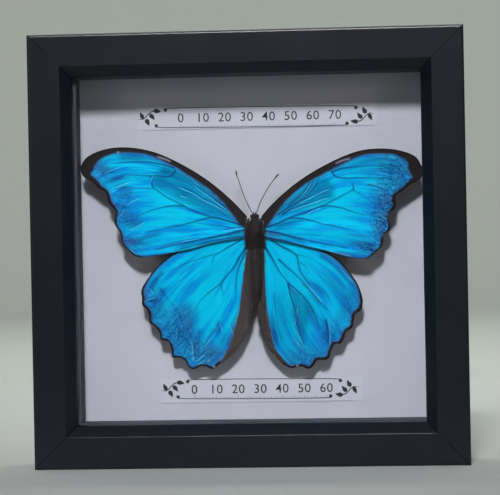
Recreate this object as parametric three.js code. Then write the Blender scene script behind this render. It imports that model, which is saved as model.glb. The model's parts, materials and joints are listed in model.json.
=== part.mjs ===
// A morpho butterfly set in a square shadow-box frame. Units are millimetres, +Z is up.
//
// The frame stands on its bottom rail and faces -Y. Everything is first built in picture
// space: x to the right, y up, z towards the viewer, with z = 0 on the frame's front face and
// x = y = 0 at the centre of the window. One group then stands the picture up.

import * as THREE from 'three';

// ---------------------------------------------------------------- driving dimensions

// Frame moulding
const OUTER = 195;                    // outside width and height of the frame
const FRAME_DEPTH = 36;               // front face to back edge
const FACE_WIDTH = 14.4;              // flat front face of a rail
const BEVEL = 5;                      // the slope's width and its depth
const LIP_NOSE = 2;                   // upright edge at the slope's foot
const REBATE = 4.8;                   // step behind the lip that holds the layers
const OUTER_ROUND = 1.2;              // softened outer front corner
const MITRE_GAP = 0.1;                // half the hairline at each mitre, along the rail

// Layers behind the lip, as distances behind the front face
const LAYER_CLEAR = 0.3;
const GLASS_DEPTH = 7.3;
const GLASS_THICK = 2;
const SPACER_DEPTH = 9.6;
const SPACER_WALL = { top: 4.6, bottom: 5.2, left: 5.7, right: 3.6 };
const CARD_DEPTH = 27;
const CARD_THICK = 1.5;
const PANEL_DEPTH = 28.8;
const PANEL_THICK = 3;

// Paper labels on the card
const LABEL_THICK = 0.15;
const LABEL_GAP = 0.15;
const UPPER_LABEL = { x: 3.8, y: 59.8, width: 108.6, height: 10.5 };
const LOWER_LABEL = { x: 3.5, y: -64.2, width: 91.4, height: 10.8 };

// Fixings on the back
const POINT = { width: 7, length: 13, thick: 0.5, offset: 45 };
const HANGER = { width: 45, height: 9, thick: 0.8, y: 66, teeth: 9, tooth: 1.8 };
const NAIL = { radius: 1.8, thick: 0.9, spacing: 36 };

// Butterfly: heights are above the card's front, lengths are from the middle of the thorax
const SPECIMEN_X = 2.6;
const SPECIMEN_Y = 9.2;
const SPECIMEN_SCALE = 0.987;         // across and up; heights above the card stay as given
const BODY_HEIGHT = 10.6;
const BODY_FLATTEN = 0.94;
const WING_THICK = 0.35;
const FOREWING = { base: 11, outward: -0.008, downward: 0 };       // mm lifted per mm along it
const HINDWING = { base: 9.9, outward: 0, downward: -0.0435 };
const FOREWING_GRID = [36, 10];       // steps along the outer margin, steps out from the root
const HINDWING_GRID = [40, 9];
const ANTENNA_RADIUS = 0.26;
const BLOCK = { width: 5, height: 9, y: -2 };

// Radius of the body along its axis: head, neck, thorax, waist, abdomen
const BODY_PROFILE = [
  [6.6, 0], [6.4, 0.9], [5.9, 1.5], [5.2, 1.7], [4.7, 1.4], [4.4, 1.3],
  [4.0, 2.2], [3.2, 3.0], [1.5, 3.6], [-1, 3.8], [-4, 3.7], [-6.5, 3.1], [-7.8, 2.4],
  [-9, 2.6], [-12, 2.9], [-17, 2.7], [-22, 2.3], [-27, 1.7], [-31, 1.1], [-33.4, 0.5], [-34, 0],
];

// Wing outlines, drawn for the right side: out from the body is +, up is +
const FOREWING_LEFT_OUTLINE = {
  lead: [
    [3.4, 5.2], [9.6, 12.1], [20.7, 21.8], [34, 30.3], [47.3, 36.1], [60, 38.1], [70, 36.9],
    [77, 33.6], [79.8, 29.5],
  ],
  outer: [
    [79.8, 29.5], [79.2, 26.2], [77.5, 24.3], [75.4, 23.2], [73.3, 21.7], [71.6, 19.8], [68.4, 17.8],
    [67.5, 15.9], [67.1, 13.2], [65, 10.6], [63.7, 8.9], [64.2, 5.8], [64.4, 3.6], [63.6, 1.5],
    [61.9, -0.8], [61.4, -3], [61.5, -5.2], [60.4, -7], [58.3, -9.2], [55.7, -11.5], [52.2, -12.6],
  ],
  inner: [[4.3, -4.5], [12.2, -5.4], [21.2, -7], [30.2, -9.3], [40, -11], [52.2, -12.6]],
  root: [[3.4, 5.2], [4.2, 2.4], [4.3, -4.5]],
};
const FOREWING_RIGHT_OUTLINE = {
  lead: [
    [3, 5.2], [8.5, 11.1], [20.2, 20.8], [34.1, 28.8], [47.9, 34.1], [57.1, 35], [66.3, 34],
    [73.6, 30.9], [77, 25.6],
  ],
  outer: [
    [77, 25.6], [76.4, 21.9], [75.1, 20.3], [73, 19.3], [70.7, 18.2], [67.5, 15.7], [65, 13.9],
    [64.3, 11.8], [64.4, 9.7], [63.7, 7.6], [61.3, 5.6], [60.6, 3.9], [61.2, 1.8], [61.6, -0.6],
    [60.8, -2.5], [58.8, -3.9], [58.3, -5.9], [58.1, -8], [57, -10], [54, -12.7], [51, -15],
  ],
  inner: [[4.3, -4.5], [15.1, -6.9], [24.2, -9.3], [33.3, -11.5], [42.5, -14.2], [51, -15]],
  root: [[3, 5.2], [4.2, 2.4], [4.3, -4.5]],
};
const HINDWING_LEFT_OUTLINE = {
  lead: [
    [4.3, -2.2], [13, -2], [22, -3.9], [30, -7], [37.9, -11.3], [44.3, -16], [48.9, -21.1],
    [52.2, -25.8],
  ],
  outer: [
    [52.2, -25.8], [53, -28.4], [52.6, -31.2], [52.6, -34.3], [50.3, -36.6], [49.5, -39.5],
    [49.3, -42.5], [46.9, -44.5], [45, -47], [44.3, -50.2], [41.1, -51.3], [39.6, -54.5], [39, -58.6],
    [36.1, -58.7], [33.6, -60], [31.8, -63.2], [29.6, -64.1], [26.2, -62.8], [23.9, -62.9],
    [20.8, -64.2], [17.6, -62.2],
  ],
  inner: [
    [3.4, -8.3], [3.4, -14], [3, -20], [2.5, -26], [1.7, -32], [1.4, -35], [2.4, -40], [4, -45],
    [6.1, -50], [8.4, -53.6], [12.9, -58.6], [17.6, -62.2],
  ],
  root: [[4.3, -2.2], [4.2, -5.4], [3.4, -8.3]],
};
const HINDWING_RIGHT_OUTLINE = {
  lead: [
    [4.3, -2.2], [14, -4.2], [24, -7.5], [31, -10.8], [36.6, -14.4], [42, -19.9], [46, -25.8],
    [48, -31],
  ],
  outer: [
    [48, -31], [48.5, -34.4], [47.6, -38.1], [44.8, -40.4], [44.2, -43.2], [43.5, -46], [40.6, -48.2],
    [39.6, -51], [37.9, -53.4], [35.2, -53.8], [33.6, -56.6], [32.4, -60], [30.2, -60.9], [27.2, -60.9],
    [25.2, -63.6], [23, -64.8], [19.7, -63.5], [15.1, -64.3], [11.4, -62.4],
  ],
  inner: [
    [3.4, -8.3], [3.4, -14], [3, -20], [2.5, -26], [1.7, -32], [0.7, -37], [0.4, -41], [1.8, -46.9],
    [3.7, -52.7], [7.5, -57.8], [11.4, -62.4],
  ],
  root: [[4.3, -2.2], [4.2, -5.4], [3.4, -8.3]],
};
const ANTENNA_LEFT_PATH = [[-1.2, 7], [-3.2, 11.1], [-5.3, 16.6], [-6.6, 20.7], [-7.7, 24], [-8.1, 26.3]];
const ANTENNA_RIGHT_PATH = [[1, 7], [2.3, 10.7], [4.6, 15.1], [6.5, 18.2], [8.8, 21.4], [11.4, 24.4]];

// Derived sizes
const HALF = OUTER / 2;
const LIP_HALF = HALF - FACE_WIDTH - BEVEL;
const REBATE_HALF = LIP_HALF + REBATE;
const LAYER_HALF = REBATE_HALF - LAYER_CLEAR;

// ---------------------------------------------------------------- materials

const finish = (color, roughness, metalness = 0) =>
  new THREE.MeshStandardMaterial({ color, roughness, metalness });

const blackLacquer = () => finish('#22242b', 0.45);
const glassMaterial = () =>
  new THREE.MeshStandardMaterial({ color: '#eef4f4', roughness: 0.05, transparent: true, opacity: 0.2 });
const greyCard = () => finish('#5f626c', 0.8);
const whiteCard = () => finish('#d9dae2', 0.9);
const labelPaper = () => finish('#e6e6ec', 0.85);
const fibreboard = () => finish('#7b5a3c', 0.85);
const steel = () => finish('#b9bcc2', 0.35, 0.9);
const foam = () => finish('#e3e0d6', 0.95);
const insectBrown = () => finish('#3a302c', 0.9);
const wingBlue = () => finish('#0f9fe0', 0.35, 0.6);

// ---------------------------------------------------------------- meshes from vertices

/** A named mesh from flat vertex and index lists. */
function meshFrom(name, vertices, indices, material) {
  const geometry = new THREE.BufferGeometry();
  geometry.setAttribute('position', new THREE.Float32BufferAttribute(vertices, 3));
  geometry.setIndex(indices);
  geometry.computeVertexNormals();
  return named(name, new THREE.Mesh(geometry, material));
}

function named(name, mesh) {
  mesh.name = name;
  return mesh;
}

/** A box from its centre, its size and the distance of its near face behind the front. */
function sheet(name, x, y, width, height, depth, thick, material) {
  const mesh = new THREE.Mesh(new THREE.BoxGeometry(width, height, thick), material);
  mesh.position.set(x, y, -depth - thick / 2);
  return named(name, mesh);
}

// ---------------------------------------------------------------- frame

/** The moulding's section as [distance out from the window's centre, z], counter-clockwise. */
function mouldingSection() {
  const section = [
    [REBATE_HALF, -FRAME_DEPTH],
    [HALF - 0.5, -FRAME_DEPTH],
    [HALF, -FRAME_DEPTH + 0.5],
  ];
  const steps = 4;
  for (let i = 0; i <= steps; i += 1) {
    const angle = (i / steps) * (Math.PI / 2);
    const out = HALF - OUTER_ROUND + OUTER_ROUND * Math.cos(angle);
    section.push([out, -OUTER_ROUND + OUTER_ROUND * Math.sin(angle)]);
  }
  section.push(
    [HALF - FACE_WIDTH, 0],
    [LIP_HALF + 0.5, -BEVEL + 0.5],
    [LIP_HALF, -BEVEL - 0.3],
    [LIP_HALF, -BEVEL - LIP_NOSE],
    [REBATE_HALF, -BEVEL - LIP_NOSE],
  );
  return section;
}

/** The bottom rail: the section drawn out along x between two 45 degree mitres. */
function railGeometryParts() {
  const section = mouldingSection();
  const count = section.length;
  const vertices = [];
  for (const side of [-1, 1]) {
    for (const [out, z] of section) {
      vertices.push(side * (out - MITRE_GAP), -out, z);
    }
  }
  const indices = [];
  for (let i = 0; i < count; i += 1) {
    const next = (i + 1) % count;
    indices.push(i, count + next, next, i, count + i, count + next);
  }
  const outline = section.map(([out, z]) => new THREE.Vector2(out, z));
  for (const [a, b, c] of THREE.ShapeUtils.triangulateShape(outline, [])) {
    indices.push(a, b, c);
    indices.push(count + a, count + c, count + b);
  }
  return { vertices, indices };
}

function makeFrame() {
  const frame = new THREE.Group();
  const turns = { bottom: 0, right: 1, top: 2, left: 3 };
  for (const [side, turn] of Object.entries(turns)) {
    const { vertices, indices } = railGeometryParts();
    const rail = meshFrom(`frame_rail_${side}`, vertices, indices, blackLacquer());
    rail.rotation.z = (turn * Math.PI) / 2;
    frame.add(rail);
  }
  return frame;
}

// ---------------------------------------------------------------- layers in the rebate

/** Four card strips that hold the glass off the backing, with the side strips between the others. */
function makeSpacers() {
  const spacers = new THREE.Group();
  const thick = CARD_DEPTH - LAYER_CLEAR - SPACER_DEPTH;
  const { top, bottom, left, right } = SPACER_WALL;
  const strip = (side, x, y, width, height) =>
    sheet(`spacer_${side}`, x, y, width, height, SPACER_DEPTH, thick, greyCard());
  const inside = 2 * (LAYER_HALF - LAYER_CLEAR) - top - bottom;
  const rise = (bottom - top) / 2;
  spacers.add(
    strip('top', 0, LAYER_HALF - top / 2, 2 * LAYER_HALF, top),
    strip('bottom', 0, bottom / 2 - LAYER_HALF, 2 * LAYER_HALF, bottom),
    strip('left', left / 2 - LAYER_HALF, rise, left, inside),
    strip('right', LAYER_HALF - right / 2, rise, right, inside),
  );
  return spacers;
}

function makeLabel(name, { x, y, width, height }) {
  const depth = CARD_DEPTH - LABEL_GAP - LABEL_THICK;
  return sheet(name, x, y, width, height, depth, LABEL_THICK, labelPaper());
}

function makeLayers() {
  const layers = new THREE.Group();
  const size = 2 * LAYER_HALF;
  layers.add(
    sheet('glass_pane', 0, 0, size, size, GLASS_DEPTH, GLASS_THICK, glassMaterial()),
    makeSpacers(),
    sheet('backing_card', 0, 0, size, size, CARD_DEPTH, CARD_THICK, whiteCard()),
    makeLabel('label_upper', UPPER_LABEL),
    makeLabel('label_lower', LOWER_LABEL),
    sheet('back_panel', 0, 0, size, size, PANEL_DEPTH, PANEL_THICK, fibreboard()),
  );
  return layers;
}

// ---------------------------------------------------------------- fixings on the back

/** Flat steel points that hold the back panel in, two to a side. */
function makePoints() {
  const points = new THREE.Group();
  const depth = PANEL_DEPTH + PANEL_THICK + LAYER_CLEAR;
  const reach = REBATE_HALF - LAYER_CLEAR - POINT.length / 2;
  let number = 1;
  for (let turn = 0; turn < 4; turn += 1) {
    const side = new THREE.Group();
    side.rotation.z = (turn * Math.PI) / 2;
    for (const offset of [-POINT.offset, POINT.offset]) {
      const name = `retaining_point_${number}`;
      side.add(sheet(name, offset, -reach, POINT.width, POINT.length, depth, POINT.thick, steel()));
      number += 1;
    }
    points.add(side);
  }
  return points;
}

/** Sawtooth hanger: a strip with a row of notches along its lower edge. */
function makeHanger() {
  const depth = PANEL_DEPTH + PANEL_THICK + LAYER_CLEAR;
  const shape = new THREE.Shape();
  const left = -HANGER.width / 2;
  const toothed = HANGER.width * 0.6;
  const step = toothed / HANGER.teeth;
  shape.moveTo(left, 0);
  shape.lineTo(-toothed / 2, 0);
  for (let i = 0; i < HANGER.teeth; i += 1) {
    const x = -toothed / 2 + i * step;
    shape.lineTo(x + step / 2, HANGER.tooth);
    shape.lineTo(x + step, 0);
  }
  shape.lineTo(-left, 0);
  shape.lineTo(-left, HANGER.height);
  shape.lineTo(left, HANGER.height);
  shape.closePath();
  const geometry = new THREE.ExtrudeGeometry(shape, { depth: HANGER.thick, bevelEnabled: false });
  const plate = named('hanger_plate', new THREE.Mesh(geometry, steel()));
  plate.position.set(0, HANGER.y, -depth - HANGER.thick);
  const hanger = new THREE.Group();
  hanger.add(plate);
  for (const [side, sign] of [['left', -1], ['right', 1]]) {
    const head = new THREE.CylinderGeometry(NAIL.radius, NAIL.radius, NAIL.thick, 14);
    const nail = named(`hanger_nail_${side}`, new THREE.Mesh(head, steel()));
    nail.rotation.x = Math.PI / 2;
    const behind = depth + HANGER.thick + LAYER_CLEAR + NAIL.thick / 2;
    nail.position.set((sign * NAIL.spacing) / 2, HANGER.y + HANGER.height / 2, -behind);
    hanger.add(nail);
  }
  return hanger;
}

// ---------------------------------------------------------------- butterfly

/** A smooth curve through [x, y] points, sampled evenly along its length. */
function samplePath(points, steps) {
  const corners = points.map(([x, y]) => new THREE.Vector3(x, y, 0));
  const curve = new THREE.CatmullRomCurve3(corners, false, 'centripetal');
  return curve.getSpacedPoints(steps);
}

/** The point of a four-sided Coons patch at grid position (i, j). */
function coonsPoint({ lead, inner, root, outer }, i, j, across, out) {
  const s = i / across;
  const t = j / out;
  const ruled = (a, b, k) => a.clone().lerp(b, k);
  const sides = ruled(lead[j], inner[j], s);
  const ends = ruled(root[i], outer[i], t);
  const corners = ruled(ruled(root[0], outer[0], t), ruled(root[across], outer[across], t), s);
  return sides.add(ends).sub(corners);
}

/**
 * A wing as a thin solid: a grid over the outline, tilted by its outward and downward lift.
 * side is 1 for a right wing and -1 for a left one.
 */
function makeWing(name, outline, lift, [across, out], side) {
  const edges = {
    lead: samplePath(outline.lead, out),
    inner: samplePath(outline.inner, out),
    root: samplePath(outline.root, across),
    outer: samplePath(outline.outer, across),
  };
  const vertices = [];
  for (const face of [0.5, -0.5]) {
    for (let i = 0; i <= across; i += 1) {
      for (let j = 0; j <= out; j += 1) {
        const point = coonsPoint(edges, i, j, across, out);
        const height = lift.base + lift.outward * point.x - lift.downward * point.y;
        vertices.push(side * point.x, point.y, height + face * WING_THICK);
      }
    }
  }
  const at = (layer, i, j) => layer * (across + 1) * (out + 1) + i * (out + 1) + j;
  const indices = [];
  const quad = (a, b, c, d) => {
    if (side > 0) indices.push(a, b, c, a, c, d);
    else indices.push(a, c, b, a, d, c);
  };
  for (let i = 0; i < across; i += 1) {
    for (let j = 0; j < out; j += 1) {
      quad(at(0, i, j), at(0, i + 1, j), at(0, i + 1, j + 1), at(0, i, j + 1));
      quad(at(1, i, j), at(1, i, j + 1), at(1, i + 1, j + 1), at(1, i + 1, j));
    }
    quad(at(0, i, 0), at(1, i, 0), at(1, i + 1, 0), at(0, i + 1, 0));
    quad(at(0, i, out), at(0, i + 1, out), at(1, i + 1, out), at(1, i, out));
  }
  for (let j = 0; j < out; j += 1) {
    quad(at(0, 0, j), at(0, 0, j + 1), at(1, 0, j + 1), at(1, 0, j));
    quad(at(0, across, j), at(1, across, j), at(1, across, j + 1), at(0, across, j + 1));
  }
  return meshFrom(name, vertices, indices, wingBlue());
}

/** Head, thorax and abdomen in one turned solid, a little flattened front to back. */
function makeBody() {
  const profile = BODY_PROFILE.map(([y, radius]) => new THREE.Vector2(radius, y)).reverse();
  const body = new THREE.Mesh(new THREE.LatheGeometry(profile, 16), insectBrown());
  body.scale.z = BODY_FLATTEN;
  body.position.z = BODY_HEIGHT;
  return named('butterfly_body', body);
}

function makeAntenna(name, path) {
  const last = path.length - 1;
  const points = path.map(([x, y], i) => new THREE.Vector3(x, y, BODY_HEIGHT + 0.4 + (1.6 * i) / last));
  const section = new THREE.Shape();
  for (let i = 0; i < 6; i += 1) {
    const angle = (i * Math.PI) / 3;
    const x = ANTENNA_RADIUS * Math.cos(angle);
    const y = ANTENNA_RADIUS * Math.sin(angle);
    if (i === 0) section.moveTo(x, y);
    else section.lineTo(x, y);
  }
  section.closePath();
  const extrudePath = new THREE.CatmullRomCurve3(points);
  const geometry = new THREE.ExtrudeGeometry(section, { steps: 14, extrudePath, bevelEnabled: false });
  return named(name, new THREE.Mesh(geometry, insectBrown()));
}

function makeButterfly() {
  const butterfly = new THREE.Group();
  butterfly.add(
    makeBody(),
    makeAntenna('antenna_left', ANTENNA_LEFT_PATH),
    makeAntenna('antenna_right', ANTENNA_RIGHT_PATH),
    makeWing('forewing_left', FOREWING_LEFT_OUTLINE, FOREWING, FOREWING_GRID, -1),
    makeWing('forewing_right', FOREWING_RIGHT_OUTLINE, FOREWING, FOREWING_GRID, 1),
    makeWing('hindwing_left', HINDWING_LEFT_OUTLINE, HINDWING, HINDWING_GRID, -1),
    makeWing('hindwing_right', HINDWING_RIGHT_OUTLINE, HINDWING, HINDWING_GRID, 1),
    makeBlock(),
  );
  butterfly.scale.set(SPECIMEN_SCALE, SPECIMEN_SCALE, 1);
  butterfly.position.set(SPECIMEN_X, SPECIMEN_Y, -CARD_DEPTH);
  return butterfly;
}

/** The foam block that holds the body off the card. */
function makeBlock() {
  const top = BODY_HEIGHT - 3.8 * BODY_FLATTEN - LAYER_CLEAR;
  const thick = top - LAYER_CLEAR;
  const block = new THREE.Mesh(new THREE.BoxGeometry(BLOCK.width, BLOCK.height, thick), foam());
  block.position.set(0, BLOCK.y, LAYER_CLEAR + thick / 2);
  return named('mounting_block', block);
}

// ---------------------------------------------------------------- assembly

const picture = new THREE.Group();
picture.add(makeFrame(), makeLayers(), makePoints(), makeHanger(), makeButterfly());
picture.rotation.x = Math.PI / 2;
picture.position.set(0, -FRAME_DEPTH / 2, HALF);

const group = new THREE.Group();
group.add(picture);

export default group;
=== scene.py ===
"""A blue morpho butterfly mounted in a square, black shadow-box frame.

Shapes are worked out in picture space, in millimetres: x runs to the right, y up and z
towards the viewer, with z = 0 on the frame's front face and x = y = 0 at the middle of the
window. PictureSpace turns them into the row frame, in metres.
"""

import json
import logging
import math
from dataclasses import dataclass, field
from enum import Enum
from typing import Callable, ClassVar, Iterable, Mapping, Sequence

import bmesh
import bpy
import numpy as np
from mathutils import Matrix, Vector

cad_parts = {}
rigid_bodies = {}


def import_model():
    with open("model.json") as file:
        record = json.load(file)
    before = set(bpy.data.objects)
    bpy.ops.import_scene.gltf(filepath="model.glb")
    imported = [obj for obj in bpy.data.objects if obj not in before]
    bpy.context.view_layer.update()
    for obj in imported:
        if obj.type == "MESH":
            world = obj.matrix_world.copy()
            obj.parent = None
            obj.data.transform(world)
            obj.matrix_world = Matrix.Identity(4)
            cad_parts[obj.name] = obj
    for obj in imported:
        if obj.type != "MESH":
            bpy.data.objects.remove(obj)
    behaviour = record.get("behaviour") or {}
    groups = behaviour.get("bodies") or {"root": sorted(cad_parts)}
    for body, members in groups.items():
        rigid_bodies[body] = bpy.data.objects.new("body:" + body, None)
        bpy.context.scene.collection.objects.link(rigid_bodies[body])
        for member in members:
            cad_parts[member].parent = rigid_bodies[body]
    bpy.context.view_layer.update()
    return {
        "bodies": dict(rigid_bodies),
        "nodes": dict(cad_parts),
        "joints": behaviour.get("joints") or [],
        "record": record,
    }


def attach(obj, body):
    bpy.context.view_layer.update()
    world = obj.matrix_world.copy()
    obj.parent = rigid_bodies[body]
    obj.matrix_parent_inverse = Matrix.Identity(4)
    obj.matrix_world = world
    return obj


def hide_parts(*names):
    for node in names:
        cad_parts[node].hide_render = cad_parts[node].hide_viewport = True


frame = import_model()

logging.basicConfig(level=logging.INFO, format="%(message)s")
LOG = logging.getLogger("butterfly_frame")

Array = np.ndarray
Point = tuple[float, float]
Path = Sequence[Point]
Colour = tuple[float, float, float]
Socket = bpy.types.NodeSocket
MM = 0.001
BODY = "root"


class Slot(Enum):
    """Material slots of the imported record."""

    LABEL = "label"
    WING = "wing"
    INSECT = "insect_body"


class Side(Enum):
    """Which side of the insect a part is on; the value is the sign of its x."""

    LEFT = -1
    RIGHT = 1


# ---------------------------------------------------------------- places and numbers


@dataclass(frozen=True)
class PictureSpace:
    """The change from picture space, in millimetres, to the row frame, in metres."""

    front: float = -18.0
    middle: float = 97.5

    def to_row(self, points: Array) -> Array:
        """Row-frame points: X = x, Y = front - z and Z = middle + y, in metres.

        Args:
            points: N by 3 picture-space points.

        Returns:
            N by 3 points in metres.
        """
        p = np.asarray(points, float).reshape(-1, 3)
        return np.column_stack([p[:, 0], self.front - p[:, 2], self.middle + p[:, 1]]) * MM


PICTURE = PictureSpace()


@dataclass(frozen=True)
class Mounting:
    """Where the card and the butterfly are inside the frame, in millimetres."""

    card_front: float = -27.0
    x: float = 2.6
    y: float = 9.2
    scale: float = 0.987

    def place(self, points: Array) -> Array:
        """Picture-space points from points measured from the thorax and the card's front.

        Across and up are scaled and moved; heights above the card are only moved.

        Args:
            points: N by 3 points.

        Returns:
            N by 3 picture-space points.
        """
        spread = np.asarray(points, float).reshape(-1, 3) * (self.scale, self.scale, 1.0)
        return spread + (self.x, self.y, self.card_front)


MOUNTING = Mounting()


def smoothstep(low: float | Array, high: float | Array, x: Array) -> Array:
    """Cubic step: 0 below low, 1 above high, 3u^2 - 2u^3 between them."""
    u = np.clip((x - low) / (high - low), 0.0, 1.0)
    return u * u * (3 - 2 * u)


def bell(x: Array, width: float | Array) -> Array:
    """Bell curve exp(-(x / width)^2)."""
    return np.exp(-((x / width) ** 2))


def catmull_rom(knots: Path, steps: int = 24) -> Array:
    """Centripetal Catmull-Rom curve through knots.

    Each span is a cubic Hermite piece whose end slopes are the non-uniform differences over
    the square root of the chord lengths; the end knots are mirrored to extend the curve.

    Args:
        knots: the points that the curve passes through.
        steps: points for each span.

    Returns:
        The points of the curve.
    """
    p = np.asarray(knots, float)
    ext = np.vstack([2 * p[0] - p[1], p, 2 * p[-1] - p[-2]])
    d = np.sqrt(np.linalg.norm(np.diff(ext, axis=0), axis=1))[:, None]
    x0, x1, x2, x3 = ext[:-3], ext[1:-2], ext[2:-1], ext[3:]
    d0, d1, d2 = d[:-2], d[1:-1], d[2:]
    m1 = ((x1 - x0) / d0 - (x2 - x0) / (d0 + d1) + (x2 - x1) / d1) * d1
    m2 = ((x2 - x1) / d1 - (x3 - x1) / (d1 + d2) + (x3 - x2) / d2) * d1
    t = np.linspace(0, 1, steps, endpoint=False)[:, None, None]
    curve = (
        (2 * t**3 - 3 * t**2 + 1) * x1
        + (t**3 - 2 * t**2 + t) * m1
        + (3 * t**2 - 2 * t**3) * x2
        + (t**3 - t**2) * m2
    )
    return np.vstack([curve.transpose(1, 0, 2).reshape(-1, p.shape[1]), p[-1]])


def along(curve: Array, fractions: Array) -> Array:
    """Points of a polyline at fractions of its length, by straight interpolation.

    Args:
        curve: the polyline's points.
        fractions: values from 0 to 1.

    Returns:
        One point for each fraction.
    """
    run = np.concatenate([[0], np.cumsum(np.linalg.norm(np.diff(curve, axis=0), axis=1))])
    where = np.asarray(fractions) * run[-1]
    return np.column_stack([np.interp(where, run, curve[:, k]) for k in range(curve.shape[1])])


def smooth_path(knots: Path, count: int) -> Array:
    """Smooth curve through knots as count points spaced evenly by length."""
    return along(catmull_rom(knots), np.linspace(0, 1, count))


def nearest_on_path(points: Array, path: Array) -> tuple[Array, Array, Array]:
    """Distance, place and side of points from a polyline.

    For every segment the foot of the perpendicular is clamped to the segment, and the
    nearest foot counts; the side is the sign of the cross product with that segment.

    Args:
        points: N by 2 points.
        path: M by 2 polyline.

    Returns:
        Distance, fraction of the path's length and signed distance, positive on the left.
    """
    a, ab = path[:-1], np.diff(path, axis=0)
    size = np.linalg.norm(ab, axis=1)
    rel = points[:, None, :] - a[None]
    u = np.clip((rel * ab).sum(2) / (size**2), 0, 1)
    gap = rel - u[..., None] * ab
    dist = np.hypot(gap[..., 0], gap[..., 1])
    best = dist.argmin(1)
    rows = np.arange(len(points))
    run = np.concatenate([[0], np.cumsum(size)])
    where = (run[best] + u[rows, best] * size[best]) / run[-1]
    cross = ab[best, 0] * rel[rows, best, 1] - ab[best, 1] * rel[rows, best, 0]
    nearest = dist[rows, best]
    return nearest, where, nearest * np.sign(cross)


def inside_polygon(points: Array, corners: Path, softness: float) -> Array:
    """Soft mask of a polygon: 1 inside, falling to 0 over softness across its edge.

    The even-odd rule tells inside from outside, and the distance to the closed outline
    carries the soft edge.

    Args:
        points: N by 2 points.
        corners: the polygon's corners.
        softness: width of the soft edge.

    Returns:
        N values from 0 to 1.
    """
    ring = np.asarray([*corners, corners[0]], float)
    a, b = ring[:-1], ring[1:]
    py = points[:, 1:2]
    straddles = (a[:, 1] > py) != (b[:, 1] > py)
    rise = np.where(b[:, 1] == a[:, 1], 1e-9, b[:, 1] - a[:, 1])
    cut = a[:, 0] + (py - a[:, 1]) / rise * (b[:, 0] - a[:, 0])
    odd = (straddles & (points[:, 0:1] < cut)).sum(1) % 2 == 1
    gap = nearest_on_path(points, ring)[0]
    return smoothstep(-softness, softness, np.where(odd, gap, -gap))


def lattice_noise(u: Array, v: Array, seed: int) -> Array:
    """Smooth noise from -1 to 1: random lattice values blended with a cubic step.

    Args:
        u, v: coordinates in lattice steps.
        seed: seed of the lattice.

    Returns:
        Noise of the shape of u.
    """
    size = 64
    table = np.random.default_rng(seed).uniform(-1, 1, (size, size))
    iu, iv = np.floor(u).astype(int), np.floor(v).astype(int)
    fu, fv = u - iu, v - iv
    fu, fv = fu * fu * (3 - 2 * fu), fv * fv * (3 - 2 * fv)
    a, b = iu % size, iv % size
    c, d = (iu + 1) % size, (iv + 1) % size
    low = table[a, b] * (1 - fu) + table[c, b] * fu
    high = table[a, d] * (1 - fu) + table[c, d] * fu
    return low * (1 - fv) + high * fv


# ---------------------------------------------------------------- surfaces and meshes


@dataclass
class Surface:
    """A surface in picture space with its faces and what is painted on its points."""

    points: Array
    faces: list
    masks: dict[str, Array] = field(default_factory=dict)
    uv: Array | None = None
    face_finish: Array | None = None
    smooth: bool = True

    def mounted(self) -> "Surface":
        """The surface moved from the thorax's coordinates into picture space."""
        self.points = MOUNTING.place(self.points)
        return self

    def mesh(self, name: str) -> bpy.types.Mesh:
        """The surface as a mesh in the row frame, with its masks, UV map and finishes.

        Args:
            name: the mesh's name.

        Returns:
            The mesh.
        """
        mesh = bpy.data.meshes.new(name)
        mesh.from_pydata(PICTURE.to_row(self.points).tolist(), [], self.faces)
        for key, values in self.masks.items():
            layer = mesh.attributes.new(key, "FLOAT", "POINT")
            layer.data.foreach_set("value", np.asarray(values, np.float32))
        if self.uv is not None:
            corner = np.empty(len(mesh.loops), np.int32)
            mesh.loops.foreach_get("vertex_index", corner)
            layer = mesh.uv_layers.new(name="surface")
            layer.data.foreach_set("uv", self.uv[corner].astype(np.float32).ravel())
        if self.face_finish is not None:
            mesh.polygons.foreach_set("material_index", self.face_finish.astype(np.int32))
        mesh.polygons.foreach_set("use_smooth", np.full(len(mesh.polygons), self.smooth))
        mesh.update()
        return mesh


def add_object(name: str, data: bpy.types.ID) -> bpy.types.Object:
    """A new object with this data, linked into the scene.

    Args:
        name: the object's name.
        data: what it shows.

    Returns:
        The object.
    """
    made = bpy.data.objects.new(name, data)
    bpy.context.scene.collection.objects.link(made)
    return made


def join_surfaces(parts: Sequence[Surface]) -> Surface:
    """Several surfaces as one; masks that a part lacks are 0 on it.

    Args:
        parts: the surfaces.

    Returns:
        One surface, shaded as the first part is.
    """
    faces: list = []
    start = 0
    for part in parts:
        faces += [[i + start for i in face] for face in part.faces]
        start += len(part.points)
    names = sorted({key for part in parts for key in part.masks})
    masks = {
        key: np.concatenate([part.masks.get(key, np.zeros(len(part.points))) for part in parts])
        for key in names
    }
    return Surface(np.vstack([part.points for part in parts]), faces, masks, smooth=parts[0].smooth)


def grid_faces(rows: int, columns: int, flip: bool = False) -> Array:
    """Quads of a grid of rows by columns points, in row order.

    Args:
        rows, columns: points each way.
        flip: turns every quad over.

    Returns:
        Four indices for each quad.
    """
    at = np.arange(rows * columns).reshape(rows, columns)
    quads = np.stack([at[:-1, :-1], at[1:, :-1], at[1:, 1:], at[:-1, 1:]], 2).reshape(-1, 4)
    return quads[:, ::-1] if flip else quads


def rim_loop(rows: int, columns: int) -> Array:
    """Indices round the edge of a grid, in the order in which its quads run."""
    at = np.arange(rows * columns).reshape(rows, columns)
    return np.concatenate([at[:-1, 0], at[-1, :-1], at[:0:-1, -1], at[0, :0:-1]])


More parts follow.
